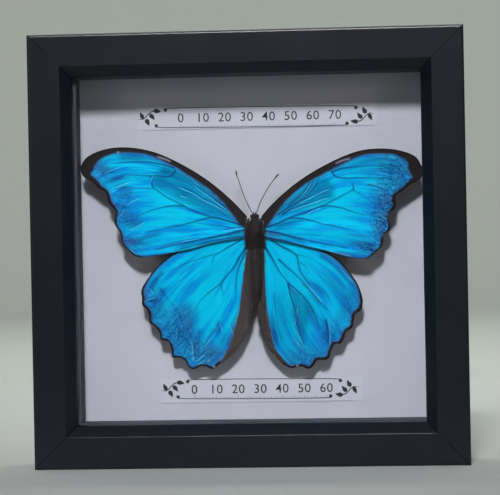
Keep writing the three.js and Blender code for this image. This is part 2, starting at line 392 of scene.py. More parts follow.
def ring_faces(rings: int, sides: int, tips: bool = False, flip: bool = False) -> list:
    """Faces of a skin over closed rings of points.

    Args:
        rings: number of rings.
        sides: points of each ring.
        tips: adds fans to the two points that follow the rings, one for each end.
        flip: turns every face over about its first corner.

    Returns:
        The faces.
    """
    at = np.arange(rings * sides).reshape(rings, sides)
    nxt = np.roll(at, -1, axis=1)
    parts = [np.stack([at[:-1], at[1:], nxt[1:], nxt[:-1]], 2).reshape(-1, 4)]
    if tips:
        parts.append(np.column_stack([np.full(sides, at.size), at[0], nxt[0]]))
        parts.append(np.column_stack([np.full(sides, at.size + 1), nxt[-1], at[-1]]))
    if flip:
        parts = [np.roll(part[:, ::-1], 1, axis=1) for part in parts]
    return [face for part in parts for face in part.tolist()]


def tube(path: Array, radii: Array, sides: int) -> Surface:
    """Closed round tube: rings set square to a path, with a point on each end.

    Args:
        path: N by 3 points.
        radii: N radii.
        sides: points round each ring.

    Returns:
        The tube, with the mask "run" from 0 to 1 along it.
    """
    ahead = np.gradient(path, axis=0)
    ahead /= np.linalg.norm(ahead, axis=1)[:, None]
    helper = np.where(np.abs(ahead[:, 2:3]) > 0.9, [[1.0, 0, 0]], [[0, 0, 1.0]])
    across = np.cross(helper, ahead)
    across /= np.linalg.norm(across, axis=1)[:, None]
    up = np.cross(ahead, across)
    turn = np.linspace(0, 2 * math.pi, sides, endpoint=False)
    ring = np.cos(turn)[None, :, None] * across[:, None] + np.sin(turn)[None, :, None] * up[:, None]
    points = (path[:, None] + ring * radii[:, None, None]).reshape(-1, 3)
    bulge = 0.4
    ends = [path[0] - ahead[0] * radii[0] * bulge, path[-1] + ahead[-1] * radii[-1] * bulge]
    run = np.concatenate([np.repeat(np.linspace(0, 1, len(path)), sides), [0, 1]])
    faces = ring_faces(len(path), sides, tips=True, flip=True)
    return Surface(np.vstack([points, ends]), faces, {"run": run})


def flat_ribbon(path: Array, half_widths: Array, floor: float, ceiling: float) -> Surface:
    """Closed thin ribbon along a path in the picture's plane.

    Each station has four corners: left and right of the path by the half width, at the
    floor and at the ceiling height.

    Args:
        path: N by 2 points.
        half_widths: N half widths.
        floor, ceiling: z of the two faces.

    Returns:
        The ribbon, flat shaded.
    """
    ahead = np.gradient(path, axis=0)
    ahead /= np.maximum(np.linalg.norm(ahead, axis=1), 1e-9)[:, None]
    left = np.column_stack([-ahead[:, 1], ahead[:, 0]]) * half_widths[:, None]
    count = len(path)
    corners = [(path + left, ceiling), (path + left, floor), (path - left, floor), (path - left, ceiling)]
    points = np.stack([np.column_stack([xy, np.full(count, z)]) for xy, z in corners], 1).reshape(-1, 3)
    last = 4 * (count - 1)
    caps = [[0, 1, 2, 3], [last + 3, last + 2, last + 1, last]]
    return Surface(points, ring_faces(count, 4) + caps, smooth=False)


def dot(x: float, y: float, radius: float, floor: float, ceiling: float) -> Surface:
    """Round printed dot: a ribbon whose half width follows a circle.

    Args:
        x, y: the dot's middle.
        radius: its radius.
        floor, ceiling: z of the two faces.

    Returns:
        The dot.
    """
    stations, blunt = 15, 0.06
    turn = np.linspace(blunt, math.pi - blunt, stations)
    path = np.column_stack([x - np.cos(turn) * radius, np.full(stations, y)])
    return flat_ribbon(path, np.sin(turn) * radius, floor, ceiling)


# ---------------------------------------------------------------- shader building


class Graph:
    """Adds nodes to one shader tree and links them by socket."""

    def __init__(self, tree: bpy.types.NodeTree) -> None:
        """Keeps the tree that nodes are added to."""
        self.tree = tree

    def add(self, kind: str, inputs: dict | None = None, **settings: object) -> bpy.types.Node:
        """Adds a node.

        Args:
            kind: the node's type, without its ShaderNode prefix.
            inputs: socket name or number to a value, or to the socket that feeds it.
            settings: the node's own properties.

        Returns:
            The node.
        """
        node = self.tree.nodes.new(kind if kind.startswith("NodeGroup") else "ShaderNode" + kind)
        for key, value in settings.items():
            setattr(node, key, value)
        for key, value in (inputs or {}).items():
            socket = node.inputs[key]
            if isinstance(value, Socket):
                self.tree.links.new(value, socket)
            elif socket.type == "RGBA" and len(value) == 3:
                socket.default_value = (*value, 1.0)
            else:
                socket.default_value = value
        return node

    def math(self, operation: str, a: object, b: object = 0.0, clamp: bool = False) -> Socket:
        """Value of a Math node."""
        return self.add("Math", {0: a, 1: b}, operation=operation, use_clamp=clamp).outputs[0]

    def times(self, a: object, b: object) -> Socket:
        """Product of two values."""
        return self.math("MULTIPLY", a, b)

    def plus(self, a: object, b: object) -> Socket:
        """Sum of two values."""
        return self.math("ADD", a, b)

    def most(self, a: object, b: object) -> Socket:
        """Greater of two values."""
        return self.math("MAXIMUM", a, b)

    def mix(self, factor: object, a: object, b: object, blend: str = "MIX") -> Socket:
        """Colour of a Mix node: a where the factor is 0, b where it is 1."""
        node = self.add("Mix", {0: factor, 6: a, 7: b}, data_type="RGBA", blend_type=blend)
        return node.outputs[2]

    def span(
        self, value: object, low: float, high: float, to_low: float = 0.0, to_high: float = 1.0
    ) -> Socket:
        """Value moved smoothly from the range low..high to to_low..to_high."""
        given = {"Value": value, "From Min": low, "From Max": high, "To Min": to_low, "To Max": to_high}
        return self.add("MapRange", given, interpolation_type="SMOOTHSTEP").outputs[0]

    def noise(
        self, vector: object, scale: object, detail: float = 3.0, rough: float = 0.55, bend: float = 0.0
    ) -> Socket:
        """Value of a Noise Texture."""
        given = {"Vector": vector, "Scale": scale, "Detail": detail, "Roughness": rough, "Distortion": bend}
        return self.add("TexNoise", given).outputs[0]

    def stretched(self, vector: object, scale: Sequence[float]) -> Socket:
        """Vector scaled along its own axes."""
        return self.add("Mapping", {"Vector": vector, "Scale": tuple(scale)}).outputs[0]

    def place(self) -> Socket:
        """Object coordinates in millimetres."""
        return self.stretched(self.add("TexCoord").outputs["Object"], (1000, 1000, 1000))

    def mask(self, name: str) -> Socket:
        """Value of a point attribute."""
        return self.add("Attribute", attribute_name=name).outputs["Fac"]

    def bump(self, height: object, strength: float, distance_mm: float) -> Socket:
        """Normal of a Bump node, its distance in millimetres."""
        given = {"Height": height, "Strength": strength, "Distance": distance_mm * MM}
        return self.add("Bump", given).outputs[0]


Recipe = Callable[[Graph, Mapping[str, Socket]], dict[str, Socket]]


class EffectGroups:
    """Node groups for effects that several finishes share; each is built on its first use."""

    _made: ClassVar[dict[str, bpy.types.NodeTree]] = {}

    @classmethod
    def use(cls, g: Graph, recipe: Recipe, **given: object) -> Mapping[str, Socket]:
        """Places a copy of a group in a graph.

        Args:
            g: the graph.
            recipe: makes the group's named results from its graph and input sockets.
            given: inputs of the copy; Vector is a vector and every other one a number.

        Returns:
            The copy's output sockets.
        """
        name = recipe.__name__
        if name not in cls._made:
            tree = cls._made[name] = bpy.data.node_groups.new(name, "ShaderNodeTree")
            inner = Graph(tree)
            for key in given:
                kind = "NodeSocketVector" if key == "Vector" else "NodeSocketFloat"
                tree.interface.new_socket(name=key, in_out="INPUT", socket_type=kind)
            results = recipe(inner, inner.add("NodeGroupInput").outputs)
            for key in results:
                tree.interface.new_socket(name=key, in_out="OUTPUT", socket_type="NodeSocketFloat")
            inner.add("NodeGroupOutput", results)
        return g.add("Group", given, node_tree=cls._made[name]).outputs


def paper_grain(g: Graph, given: Mapping[str, Socket]) -> dict[str, Socket]:
    """Pressed paper: fine pulp over slow clouds, as a value and a height.

    Args:
        g: the group's graph.
        given: the group's input sockets.

    Returns:
        Name of each output to its socket.
    """
    pulp = g.noise(given["Vector"], given["Fineness"], 4.0, 0.7)
    clouds = g.math("SUBTRACT", g.noise(given["Vector"], 0.05, 2.0), 0.5)
    value = g.plus(g.times(pulp, 0.5), g.times(clouds, given["Cloud"]))
    return {"Value": g.plus(value, 0.25), "Height": pulp}


def fibres(g: Graph, given: Mapping[str, Socket]) -> dict[str, Socket]:
    """Long fibres or grain lines: noise drawn out along one axis, twice over.

    Args:
        g: the group's graph.
        given: the group's input sockets.

    Returns:
        Name of each output to its socket.
    """
    long_lines = g.noise(given["Vector"], given["Fineness"], 4.0, 0.6, 0.4)
    short = g.noise(given["Vector"], 3.0, 2.0, 0.5)
    return {"Value": g.plus(g.times(long_lines, 0.7), g.times(short, 0.3))}


def crinkles(g: Graph, given: Mapping[str, Socket]) -> dict[str, Socket]:
    """Creases of a dried wing drawn out along the veins: crests for a painted highlight, hollows for a
    painted shade, and a height for relief.

    Args:
        g: the group's graph.
        given: the group's input sockets.

    Returns:
        Name of each output to its socket.
    """
    folds = g.noise(g.stretched(given["Vector"], (0.85, 0.42, 1)), 1.0, 3.0, 0.62, 1.1)
    off_crest = g.math("ABSOLUTE", g.math("SUBTRACT", folds, 0.5))
    return {
        "Crest": g.span(off_crest, 0.0, 0.055, 1.0, 0.0),
        "Hollow": g.span(folds, 0.52, 0.66),
        "Height": g.span(off_crest, 0.0, 0.12, 1.0, 0.0),
    }


@dataclass(frozen=True)
class Finish:
    """A surface finish; its material is built the first time it is asked for."""

    name: str
    _made: ClassVar[dict[str, bpy.types.Material]] = {}

    def material(self) -> bpy.types.Material:
        """The Blender material of this finish.

        Returns:
            The material, the same one at every call.
        """
        if self.name not in self._made:
            made = bpy.data.materials.new(self.name)
            made.use_nodes = True
            made.node_tree.nodes.clear()
            graph = Graph(made.node_tree)
            output = graph.add("OutputMaterial")
            graph.tree.links.new(self.paint(graph), output.inputs["Surface"])
            self._made[self.name] = made
        return self._made[self.name]

    def paint(self, g: Graph) -> Socket:
        """Builds the nodes and returns the shader socket."""
        raise NotImplementedError


def principled(g: Graph, **given: object) -> Socket:
    """Principled shader; underscores in the names stand for spaces."""
    return g.add("BsdfPrincipled", {key.replace("_", " "): v for key, v in given.items()}).outputs[0]


@dataclass(frozen=True)
class BlackLacquer(Finish):
    """Satin black lacquer over straight-grained wood; the grain runs along one axis."""

    grain: tuple[float, float, float] = (0.02, 1.0, 1.0)
    tone: Colour = (0.0012, 0.0030, 0.0066)
    gloss_roughness: float = 0.32

    def paint(self, g: Graph) -> Socket:
        """Dark coat whose gloss breaks up over faint grain lines, with a few dust specks.

        Args:
            g: the material's graph.

        Returns:
            The shader socket.
        """
        at = g.place()
        lines = EffectGroups.use(g, fibres, Vector=g.stretched(at, self.grain), Fineness=1.6)["Value"]
        clouds = g.noise(at, 0.06, 3.0)
        specks = g.span(g.noise(at, 2.1, 1.0), 0.78, 0.86)
        tone = g.mix(lines, self.tone, tuple(c * 1.5 for c in self.tone))
        tone = g.mix(g.times(specks, 0.3), tone, (0.05, 0.052, 0.06))
        shine = g.span(clouds, 0.3, 0.7, self.gloss_roughness - 0.012, self.gloss_roughness + 0.012)
        rough = g.plus(shine, g.times(lines, 0.03))
        return principled(
            g, Base_Color=tone, Roughness=rough, Specular_IOR_Level=0.52, Normal=g.bump(lines, 0.08, 0.05)
        )


@dataclass(frozen=True)
class ClearGlass(Finish):
    """Plain picture glass; light that only passes through it is not bent or dimmed."""

    def paint(self, g: Graph) -> Socket:
        """Clear glass for what looks through it, and transparent for light and bounces.

        Args:
            g: the material's graph.

        Returns:
            The shader socket.
        """
        film = g.noise(g.place(), 0.03, 3.0)
        glass = principled(
            g,
            Base_Color=g.mix(film, (0.975, 0.99, 0.985), (0.985, 0.995, 0.99)),
            Roughness=0.0,
            IOR=1.45,
            Transmission_Weight=1.0,
        )
        clear = g.add("BsdfTransparent", {"Color": (0.965, 0.97, 0.97)}).outputs[0]
        way = g.add("LightPath").outputs
        bounce = g.most(way["Is Diffuse Ray"], way["Is Glossy Ray"])
        passing = g.most(way["Is Shadow Ray"], bounce)
        return g.add("MixShader", {0: passing, 1: glass, 2: clear}).outputs[0]


@dataclass(frozen=True)
class PressedPaper(Finish):
    """Card, paper or board with pulp grain and slow tone clouds."""

    light: Colour = (0.6, 0.6, 0.6)
    dark: Colour = (0.5, 0.5, 0.5)
    fineness: float = 2.2
    roughness: float = 0.85
    relief: float = 0.06

    def paint(self, g: Graph) -> Socket:
        """Tone between light and dark by the grain, with its relief as bump.

        Args:
            g: the material's graph.

        Returns:
            The shader socket.
        """
        grain = EffectGroups.use(g, paper_grain, Vector=g.place(), Fineness=self.fineness, Cloud=0.8)
        tone = g.mix(g.span(grain["Value"], 0.3, 0.7), self.dark, self.light)
        rough = g.span(grain["Value"], 0.2, 0.8, self.roughness - 0.06, self.roughness + 0.06)
        return principled(
            g,
            Base_Color=tone,
            Roughness=rough,
            Specular_IOR_Level=0.25,
            Normal=g.bump(grain["Height"], 0.35, self.relief),
        )


@dataclass(frozen=True)
class Fibreboard(Finish):
    """Brown hardboard of pressed wood fibres."""

    def paint(self, g: Graph) -> Socket:
        """Crossed fibres in two tones of brown.

        Args:
            g: the material's graph.

        Returns:
            The shader socket.
        """
        at = g.place()
        one = EffectGroups.use(g, fibres, Vector=g.stretched(at, (0.25, 1, 1.1)), Fineness=1.3)
        two = EffectGroups.use(g, fibres, Vector=g.stretched(at, (1.2, 1, 0.2)), Fineness=1.1)
        both = g.most(one["Value"], two["Value"])
        tone = g.mix(g.span(both, 0.42, 0.7), (0.085, 0.045, 0.022), (0.27, 0.165, 0.09))
        return principled(g, Base_Color=tone, Roughness=0.78, Normal=g.bump(both, 0.4, 0.15))


@dataclass(frozen=True)
class RolledSteel(Finish):
    """Thin zinc-plated steel with rolling marks and handling smears."""

    tone: Colour = (0.55, 0.56, 0.58)

    def paint(self, g: Graph) -> Socket:
        """Metal whose roughness follows fine rolling lines and cloudy smears.

        Args:
            g: the material's graph.

        Returns:
            The shader socket.
        """
        at = g.place()
        lines = EffectGroups.use(g, fibres, Vector=g.stretched(at, (0.08, 1, 2)), Fineness=2.5)["Value"]
        smears = g.noise(at, 0.25, 3.0)
        tone = g.mix(g.span(smears, 0.35, 0.7), self.tone, tuple(c * 0.72 for c in self.tone))
        rough = g.plus(g.span(smears, 0.3, 0.7, 0.26, 0.4), g.times(lines, 0.12))
        return principled(
            g, Base_Color=tone, Metallic=0.95, Roughness=rough, Normal=g.bump(lines, 0.15, 0.03)
        )


@dataclass(frozen=True)
class PrintInk(Finish):
    """Dark printer's ink, a little uneven, on label paper."""

    def paint(self, g: Graph) -> Socket:
        """Near-black with slight mottling where the paper takes less ink.

        Args:
            g: the material's graph.

        Returns:
            The shader socket.
        """
        grain = EffectGroups.use(g, paper_grain, Vector=g.place(), Fineness=6.0, Cloud=1.0)
        tone = g.mix(g.span(grain["Value"], 0.25, 0.75), (0.004, 0.005, 0.013), (0.016, 0.018, 0.032))
        return principled(g, Base_Color=tone, Roughness=0.6, Normal=g.bump(grain["Height"], 0.2, 0.02))


@dataclass(frozen=True)
class WingScales(Finish):
    """Structural blue scales: blues by zone, dark veins, borders, painted highlights and painted shade."""

    span_across: float = 60.0
    span_out: float = 76.0
    bright: Colour = (0.0, 0.70, 1.0)
    middle: Colour = (0.0, 0.34, 0.87)
    lagoon: Colour = (0.0, 0.66, 1.0)
    teal: Colour = (0.0, 0.215, 0.44)
    deep: Colour = (0.006, 0.070, 0.36)
    violet: Colour = (0.062, 0.112, 0.34)
    vein: Colour = (0.003, 0.040, 0.20)
    # Painted highlight colours for the crests of pleats and of crinkles.
    painted_glint: Colour = (0.12, 0.72, 1.0)
    crest_highlight: Colour = (0.05, 0.58, 1.0)
    border: Colour = (0.027, 0.0205, 0.021)
    black: Colour = (0.006, 0.005, 0.007)
    brown: Colour = (0.105, 0.086, 0.082)
    pale: Colour = (0.42, 0.42, 0.55)

    def paint(self, g: Graph) -> Socket:
        """Lays the zones over each other: ground blue, painted sheen, highlights and shade, veins, borders.

        Args:
            g: the material's graph.

        Returns:
            The shader socket.
        """
        uv = g.add("TexCoord").outputs["UV"]
        drawn = g.stretched(uv, (self.span_across, self.span_out, 1))
        at = g.place()
        rays = g.noise(g.stretched(drawn, (0.34, 0.035, 1)), 1.0, 3.0, 0.55, 0.3)
        streaks = g.noise(g.stretched(drawn, (1.6, 0.10, 1)), 1.0, 2.0)
        dust = g.noise(at, 2.4, 2.0, 0.6)
        crease = EffectGroups.use(g, crinkles, Vector=drawn)
        creased = g.mask("crinkle")

        # Brighter blue along the rays is a painted sheen, faded near the outer margin.
        glow = g.math("MULTIPLY", g.span(rays, 0.38, 0.60), g.mask("glow"), clamp=True)
        tone = g.mix(glow, self.middle, self.bright)
        layers = (
            (g.mask("lagoon"), 0.8, self.lagoon),
            (g.mask("dull"), g.span(streaks, 0.3, 0.7, 0.55, 0.95), self.teal),
            (g.mask("deep"), g.span(streaks, 0.3, 0.7, 0.65, 1.0), self.deep),
            (g.mask("violet"), g.span(dust, 0.3, 0.7, 0.5, 1.0), self.violet),
            (g.span(streaks, 0.50, 0.72), 0.16, self.deep),
            # Painted shade in the crease hollows and a painted highlight on the crests.
            (g.times(crease["Hollow"], creased), 0.9, self.deep),
            (creased, 0.3, self.deep),
            (g.times(crease["Crest"], creased), 0.95, self.crest_highlight),
            # Painted shade beside the pleats and a painted highlight along their crests.
            (g.mask("pleat_shade"), 0.6, self.vein),
            (g.mask("pleat"), 0.62, self.painted_glint),
        )
        for zone, share, colour in layers:
            tone = g.mix(g.times(zone, share), tone, colour)
        covers = {
            "vein": self.vein, "brown": self.brown, "border": self.border, "black": self.black,
            "pale": self.pale,
        }
        for name, colour in covers.items():
            tone = g.mix(g.mask(name), tone, colour)

        fine = g.span(dust, 0.3, 0.7, 0.93, 1.03)
        tone = g.mix(1.0, tone, g.add("CombineColor", {0: fine, 1: fine, 2: fine}).outputs[0], "MULTIPLY")
        dark = g.most(g.most(g.mask("border"), g.mask("black")), g.mask("brown"))
        metal = g.math("MULTIPLY", g.math("SUBTRACT", 1.0, dark, clamp=True), 0.25)
        rough = g.plus(g.times(dark, 0.3), g.span(dust, 0.3, 0.7, 0.46, 0.56))
        height = g.plus(g.times(crease["Height"], creased), g.times(streaks, 0.12))
        return principled(
            g,
            Base_Color=tone,
            Metallic=metal,
            Roughness=rough,
            Specular_IOR_Level=0.05,
            Normal=g.bump(height, 0.8, 0.35),
        )


@dataclass(frozen=True)
class WingUnderside(Finish):
    """Brown underside with pale clouds and darker veins."""

    def paint(self, g: Graph) -> Socket:
        """Brown in two tones, darker on the veins and along the margin.

        Args:
            g: the material's graph.

        Returns:
            The shader socket.
        """
        at = g.place()
        clouds = g.noise(at, 0.12, 4.0, 0.6)
        dust = g.noise(at, 3.0, 2.0)
        crease = EffectGroups.use(g, crinkles, Vector=at)
        tone = g.mix(g.span(clouds, 0.38, 0.66), (0.085, 0.055, 0.034), (0.24, 0.17, 0.115))
        tone = g.mix(g.times(g.mask("vein"), 0.8), tone, (0.035, 0.022, 0.015))
        tone = g.mix(g.mask("border"), tone, (0.05, 0.035, 0.026))
        tone = g.mix(g.span(dust, 0.5, 0.8, 0.0, 0.25), tone, (0.02, 0.014, 0.01))
        height = g.times(crease["Height"], g.mask("crinkle"))
        return principled(g, Base_Color=tone, Roughness=0.75, Normal=g.bump(height, 0.5, 0.2))


@dataclass(frozen=True)
class InsectHair(Finish):
    """Dark brown insect hair, lighter towards the tips."""

    root: Colour = (0.026, 0.020, 0.020)
    tip: Colour = (0.098, 0.080, 0.076)

    def paint(self, g: Graph) -> Socket:
        """Tone from root to tip, shifted from hair to hair.

        Args:
            g: the material's graph.

        Returns:
            The shader socket.
        """
        tone = g.mix(g.times(g.mask("run"), g.mask("shade")), self.root, self.tip)
        blotch = g.noise(g.place(), 0.5, 2.0)
        tone = g.mix(g.span(blotch, 0.45, 0.7, 0.0, 0.5), tone, self.root)
        rough = g.span(blotch, 0.3, 0.7, 0.55, 0.7)
        return principled(g, Base_Color=tone, Roughness=rough, Specular_IOR_Level=0.3)


@dataclass(frozen=True)
class Chitin(Finish):
    """Near-black insect cuticle with pits and a soft shine."""

    tone: Colour = (0.022, 0.016, 0.016)
    shine: float = 0.45

    def paint(self, g: Graph) -> Socket:
        """Mottled dark tone with a pitted relief.

        Args:
            g: the material's graph.

        Returns:
            The shader socket.
        """
        at = g.place()
        pits = g.noise(at, 2.6, 3.0, 0.6)
        tone = g.mix(g.span(pits, 0.35, 0.65), self.tone, tuple(c * 2.4 for c in self.tone))
        return principled(
            g, Base_Color=tone, Roughness=g.span(pits, 0.3, 0.7, self.shine, self.shine + 0.2),
            Normal=g.bump(pits, 0.4, 0.15),
        )


@dataclass(frozen=True)
class SeamlessPaper(Finish):
    """Pale studio paper under and round the object."""

    tone: Colour = (0.445, 0.458, 0.435)

    def paint(self, g: Graph) -> Socket:
        """Pale paper with the slightest cloud.

        Args:
            g: the material's graph.

        Returns:
            The shader socket.
        """
        grain = EffectGroups.use(g, paper_grain, Vector=g.place(), Fineness=0.8, Cloud=0.5)
        tone = g.mix(g.span(grain["Value"], 0.2, 0.8), tuple(c * 0.97 for c in self.tone), self.tone)
        return principled(g, Base_Color=tone, Roughness=0.9, Specular_IOR_Level=0.15)


ALONG_X = BlackLacquer("black_lacquer_across", grain=(0.02, 1.0, 1.0))
ALONG_Z = BlackLacquer("black_lacquer_upright", grain=(1.0, 1.0, 0.02))
GLASS = ClearGlass("clear_glass")
SPACER_CARD = PressedPaper("grey_card", (0.072, 0.078, 0.100), (0.056, 0.061, 0.080), 2.5, 0.8, 0.08)
WHITE_CARD = PressedPaper("white_card", (0.615, 0.617, 0.69), (0.59, 0.592, 0.665), 1.6, 0.88, 0.05)
LABEL_PAPER = PressedPaper("label_paper", (0.65, 0.652, 0.725), (0.62, 0.622, 0.70), 2.6, 0.8, 0.03)
FOAM = PressedPaper("foam", (0.72, 0.70, 0.64), (0.60, 0.58, 0.52), 1.4, 0.95, 0.3)
BACKBOARD = Fibreboard("fibreboard")
STEEL = RolledSteel("rolled_steel")
INK = PrintInk("print_ink")
SCALES = WingScales("wing_scales")
UNDERSIDE = WingUnderside("wing_underside")
HAIR = InsectHair("insect_hair")
BODY_HAIR = InsectHair("body_hair", (0.034, 0.026, 0.026), (0.210, 0.176, 0.168))
MARGIN_HAIR = InsectHair("margin_hair", (0.070, 0.058, 0.056), (0.185, 0.156, 0.150))
CUTICLE = Chitin("cuticle")
EYE = Chitin("compound_eye", (0.010, 0.008, 0.008), 0.25)
STAGE_PAPER = SeamlessPaper("stage_paper")


# ---------------------------------------------------------------- workshop


class Workshop:
    """Puts finished pieces into the scene, hides the CAD nodes they replace and logs each one."""

    def __init__(self, packed: dict) -> None:
        """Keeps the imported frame's nodes."""
        self.nodes: dict[str, bpy.types.Object] = packed["nodes"]

    def dress(self, finish: Finish, names: Iterable[str]) -> None:
        """Gives carried-over CAD nodes a finish in their own material slots.

        Args:
            finish: the finish.
            names: the nodes.
        """
        for name in names:
            node = self.nodes[name]
            for slot in node.material_slots:
                slot.material = finish.material()
            LOG.info("dressed %s with %s", name, finish.name)

    def soften_edges(self, names: Iterable[str], width_mm: float) -> None:
        """Rounds the edges of CAD nodes by modifiers: doubles welded, then a small bevel.

        Args:
            names: the nodes.
            width_mm: width of the bevel.
        """
        for name in names:
            node = self.nodes[name]
            weld = node.modifiers.new("weld", "WELD")
            weld.merge_threshold = 0.02 * MM
            bevel = node.modifiers.new("soft_edge", "BEVEL")
            bevel.width = width_mm * MM
            bevel.segments = 3
            bevel.limit_method = "ANGLE"
            bevel.angle_limit = math.radians(25)
            bevel.harden_normals = True

    def place(
        self,
        name: str,
        surface: Surface,
        finishes: Sequence[Finish],
        slot: Slot,
        stands_for: Sequence[str] = (),
    ) -> bpy.types.Object:
        """Adds a piece that rides on the frame.

        Args:
            name: the piece's name.
            surface: its shape.
            finishes: its finishes, in the order of the surface's face numbers.
            slot: the record's material slot; not used.
            stands_for: CAD nodes that it replaces.

        Returns:
            The piece.
        """
        piece = add_object(name, surface.mesh(name))
        for finish in finishes:
            piece.data.materials.append(finish.material())
        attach(piece, BODY)
        if stands_for:
            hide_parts(*stands_for)
        LOG.info("%s: %d points, %d faces", name, len(piece.data.vertices), len(piece.data.polygons))
        return piece


# ---------------------------------------------------------------- frame and its layers


@dataclass
class FrameMoulding:
    """The four mitred rails."""

    edge_round: float = 0.25

    def build(self, shop: Workshop) -> None:
        """Lacquers the rails and takes their sharp edges off.

        Args:
            shop: the workshop that places the pieces.
        """
        across, upright = ("frame_rail_top", "frame_rail_bottom"), ("frame_rail_left", "frame_rail_right")
        shop.dress(ALONG_X, across)
        shop.dress(ALONG_Z, upright)
        shop.soften_edges((*across, *upright), self.edge_round)


@dataclass
class InnerLayers:
    """Glass, spacers, backing card, mounting block and back panel."""

    sides: tuple[str, ...] = ("top", "bottom", "left", "right")

    def build(self, shop: Workshop) -> None:
        """Gives each layer its finish.

        Args:
            shop: the workshop that places the pieces.
        """
        shop.dress(GLASS, ["glass_pane"])
        shop.dress(SPACER_CARD, [f"spacer_{side}" for side in self.sides])
        shop.dress(WHITE_CARD, ["backing_card"])
        shop.dress(FOAM, ["mounting_block"])
        shop.dress(BACKBOARD, ["back_panel"])


@dataclass
class BackFixings:
    """Flexible points that hold the panel, and the sawtooth hanger with its nails."""

    points: int = 8

    def build(self, shop: Workshop) -> None:
        """Gives the fixings their steel."""
        shop.dress(STEEL, [f"retaining_point_{n}" for n in range(1, self.points + 1)])
        shop.dress(STEEL, ["hanger_plate", "hanger_nail_left", "hanger_nail_right"])


